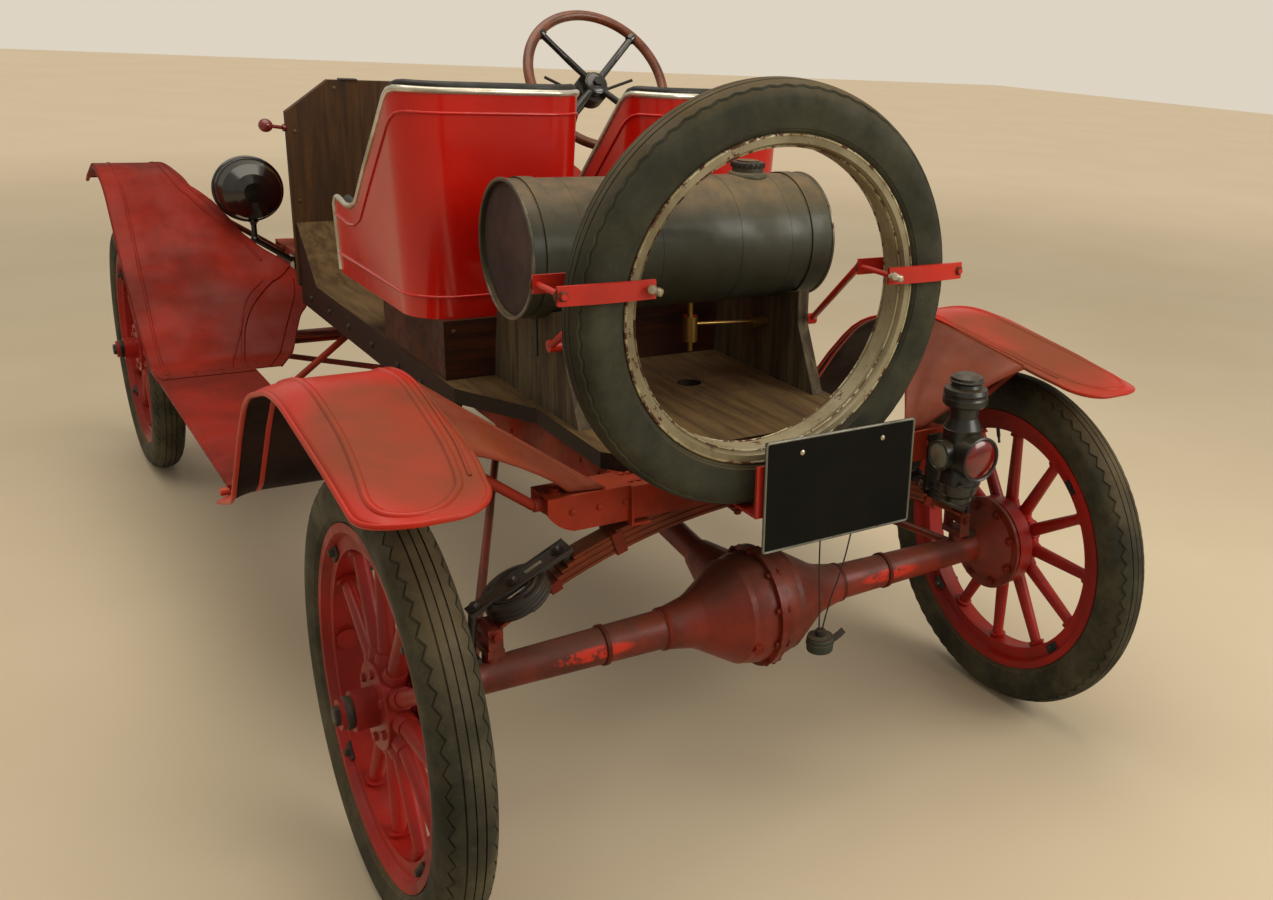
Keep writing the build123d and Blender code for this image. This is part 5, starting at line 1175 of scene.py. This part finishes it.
for hand, side in SIDES:
    catch = Shape()
    for x, half in ((640, 282), (1080, 250)):
        catch.block((x, side * (half + 1), 1030), (26, 6, 46))
        bail = ((-14, 6, 1010), (-14, 13, 1018), (14, 13, 1018), (14, 6, 1010))
        catch.sweep([(x + a, side * (half + b), z) for a, b, z in bail], ring_of(2.6))
    catch.build(f"hood_catches_{hand}", "black_metal", ["iron_black"])

spider = Shape()
hub = HAND_WHEEL + COLUMN * 20
spider.spin([(-14, 0), (-13, 24), (-10, 30), (8, 31), (12, 28)], hub, COLUMN, 32)
spider.spin([(-24, 12), (-12, 13)], hub, COLUMN, 6)
for k in range(4):
    turn = math.radians(45 + 90 * k)
    aside = LEFT * math.cos(turn) + COLUMN.cross(LEFT) * math.sin(turn)
    arm = curved([hub + aside * out - COLUMN * back for out, back in ((22, 0), (70, 3), (125, 12), (174, 20))], 6)
    spider.sweep(arm, ring_of(10.5, 10, 0.8))
    spider.spin([(0, 12), (8, 15), (14, 15)], arm[-1] - aside * 3, aside, 20)
spider.build("steering_spider", "black_metal", ["black_gloss"], 50, "hand_wheel")


# Stage, lights and camera

bpy.ops.mesh.primitive_plane_add(size=60, location=(0, 0, 0))
floor = bpy.context.object
floor.name = "floor"
ground = Paint("floor")
pale = ground.mix(ground.span(ground.noise(0.8, 3), 0.3, 0.7), (0.58, 0.49, 0.35, 1.0), (0.62, 0.53, 0.39, 1.0))
seen_direct = ground.node("LightPath").outputs["Is Camera Ray"]
glow = ground.times(ground.span(ground.length(ground.coords), 2.5, 12), 0.42)
ground.fill(ground.shader.inputs["Emission Color"], (222, 196, 160))
ground.fill(ground.shader.inputs["Emission Strength"], ground.times(glow, seen_direct))
floor.data.materials.append(ground.finish(pale, 0.6, shine=0.2))

world = bpy.data.worlds.new("studio")
bpy.context.scene.world = world
world.use_nodes = True
sky = Nodes(world.node_tree)
light = sky.tree.nodes["Background"]
sky.fill(light.inputs["Color"], (1.0, 0.92, 0.78, 1.0))
sky.fill(light.inputs["Strength"], 0.5)
wall = sky.node("Background", {"Color": (222, 212, 196)})
path = sky.node("LightPath").outputs
rays = {0: path["Is Camera Ray"], 1: path["Is Transmission Ray"]}
either = sky.node("Math", rays, operation="MAXIMUM").outputs[0]
choice = sky.node("MixShader", {0: either, 1: light.outputs[0], 2: wall.outputs[0]})
sky.fill(sky.tree.nodes["World Output"].inputs["Surface"], choice.outputs[0])


def area_light(name, location, target, size, power, color):
    data = bpy.data.lights.new(name, "AREA")
    data.shape = "RECTANGLE"
    data.size, data.size_y = size
    data.energy = power
    data.color = color
    lamp = added(name, data)
    lamp.location = location
    lamp.rotation_euler = (Vector(target) - Vector(location)).to_track_quat("-Z", "Y").to_euler()


area_light("ceiling", (-0.4, 0.4, 4.6), (0, 0, 0), (5.0, 4.0), 150, (1.0, 0.92, 0.78))
area_light("window", (-4.6, -2.6, 2.8), (0, 0, 0.7), (2.6, 2.2), 110, (1.0, 0.95, 0.86))

YAW = math.radians(-38.54)
PITCH = math.radians(17.86)
ROLL = math.radians(3.8)
PHOTO = (1273, 900)
FOCAL_PX = 1209.76
CENTRE_PX = (869.14, 423.49)
SENSOR = 36
EYE = Vector((-3.12907, 1.21188, 1.50636))

forward = Vector((math.cos(PITCH) * math.cos(YAW), math.cos(PITCH) * math.sin(YAW), -math.sin(PITCH)))
level = Vector((math.sin(YAW), -math.cos(YAW), 0))
above = level.cross(forward)
right_axis = level * math.cos(ROLL) + above * math.sin(ROLL)
up_axis = above * math.cos(ROLL) - level * math.sin(ROLL)
view = bpy.data.cameras.new("camera")
view.sensor_width = SENSOR
view.lens = FOCAL_PX / PHOTO[0] * SENSOR
view.shift_x = (PHOTO[0] / 2 - CENTRE_PX[0]) / PHOTO[0]
view.shift_y = (CENTRE_PX[1] - PHOTO[1] / 2) / PHOTO[0]
camera = added("camera", view)
camera.matrix_world = Matrix.Translation(EYE) @ Matrix((right_axis, up_axis, -forward)).transposed().to_4x4()
bpy.context.scene.camera = camera
bpy.context.scene.view_settings.view_transform = "Standard"
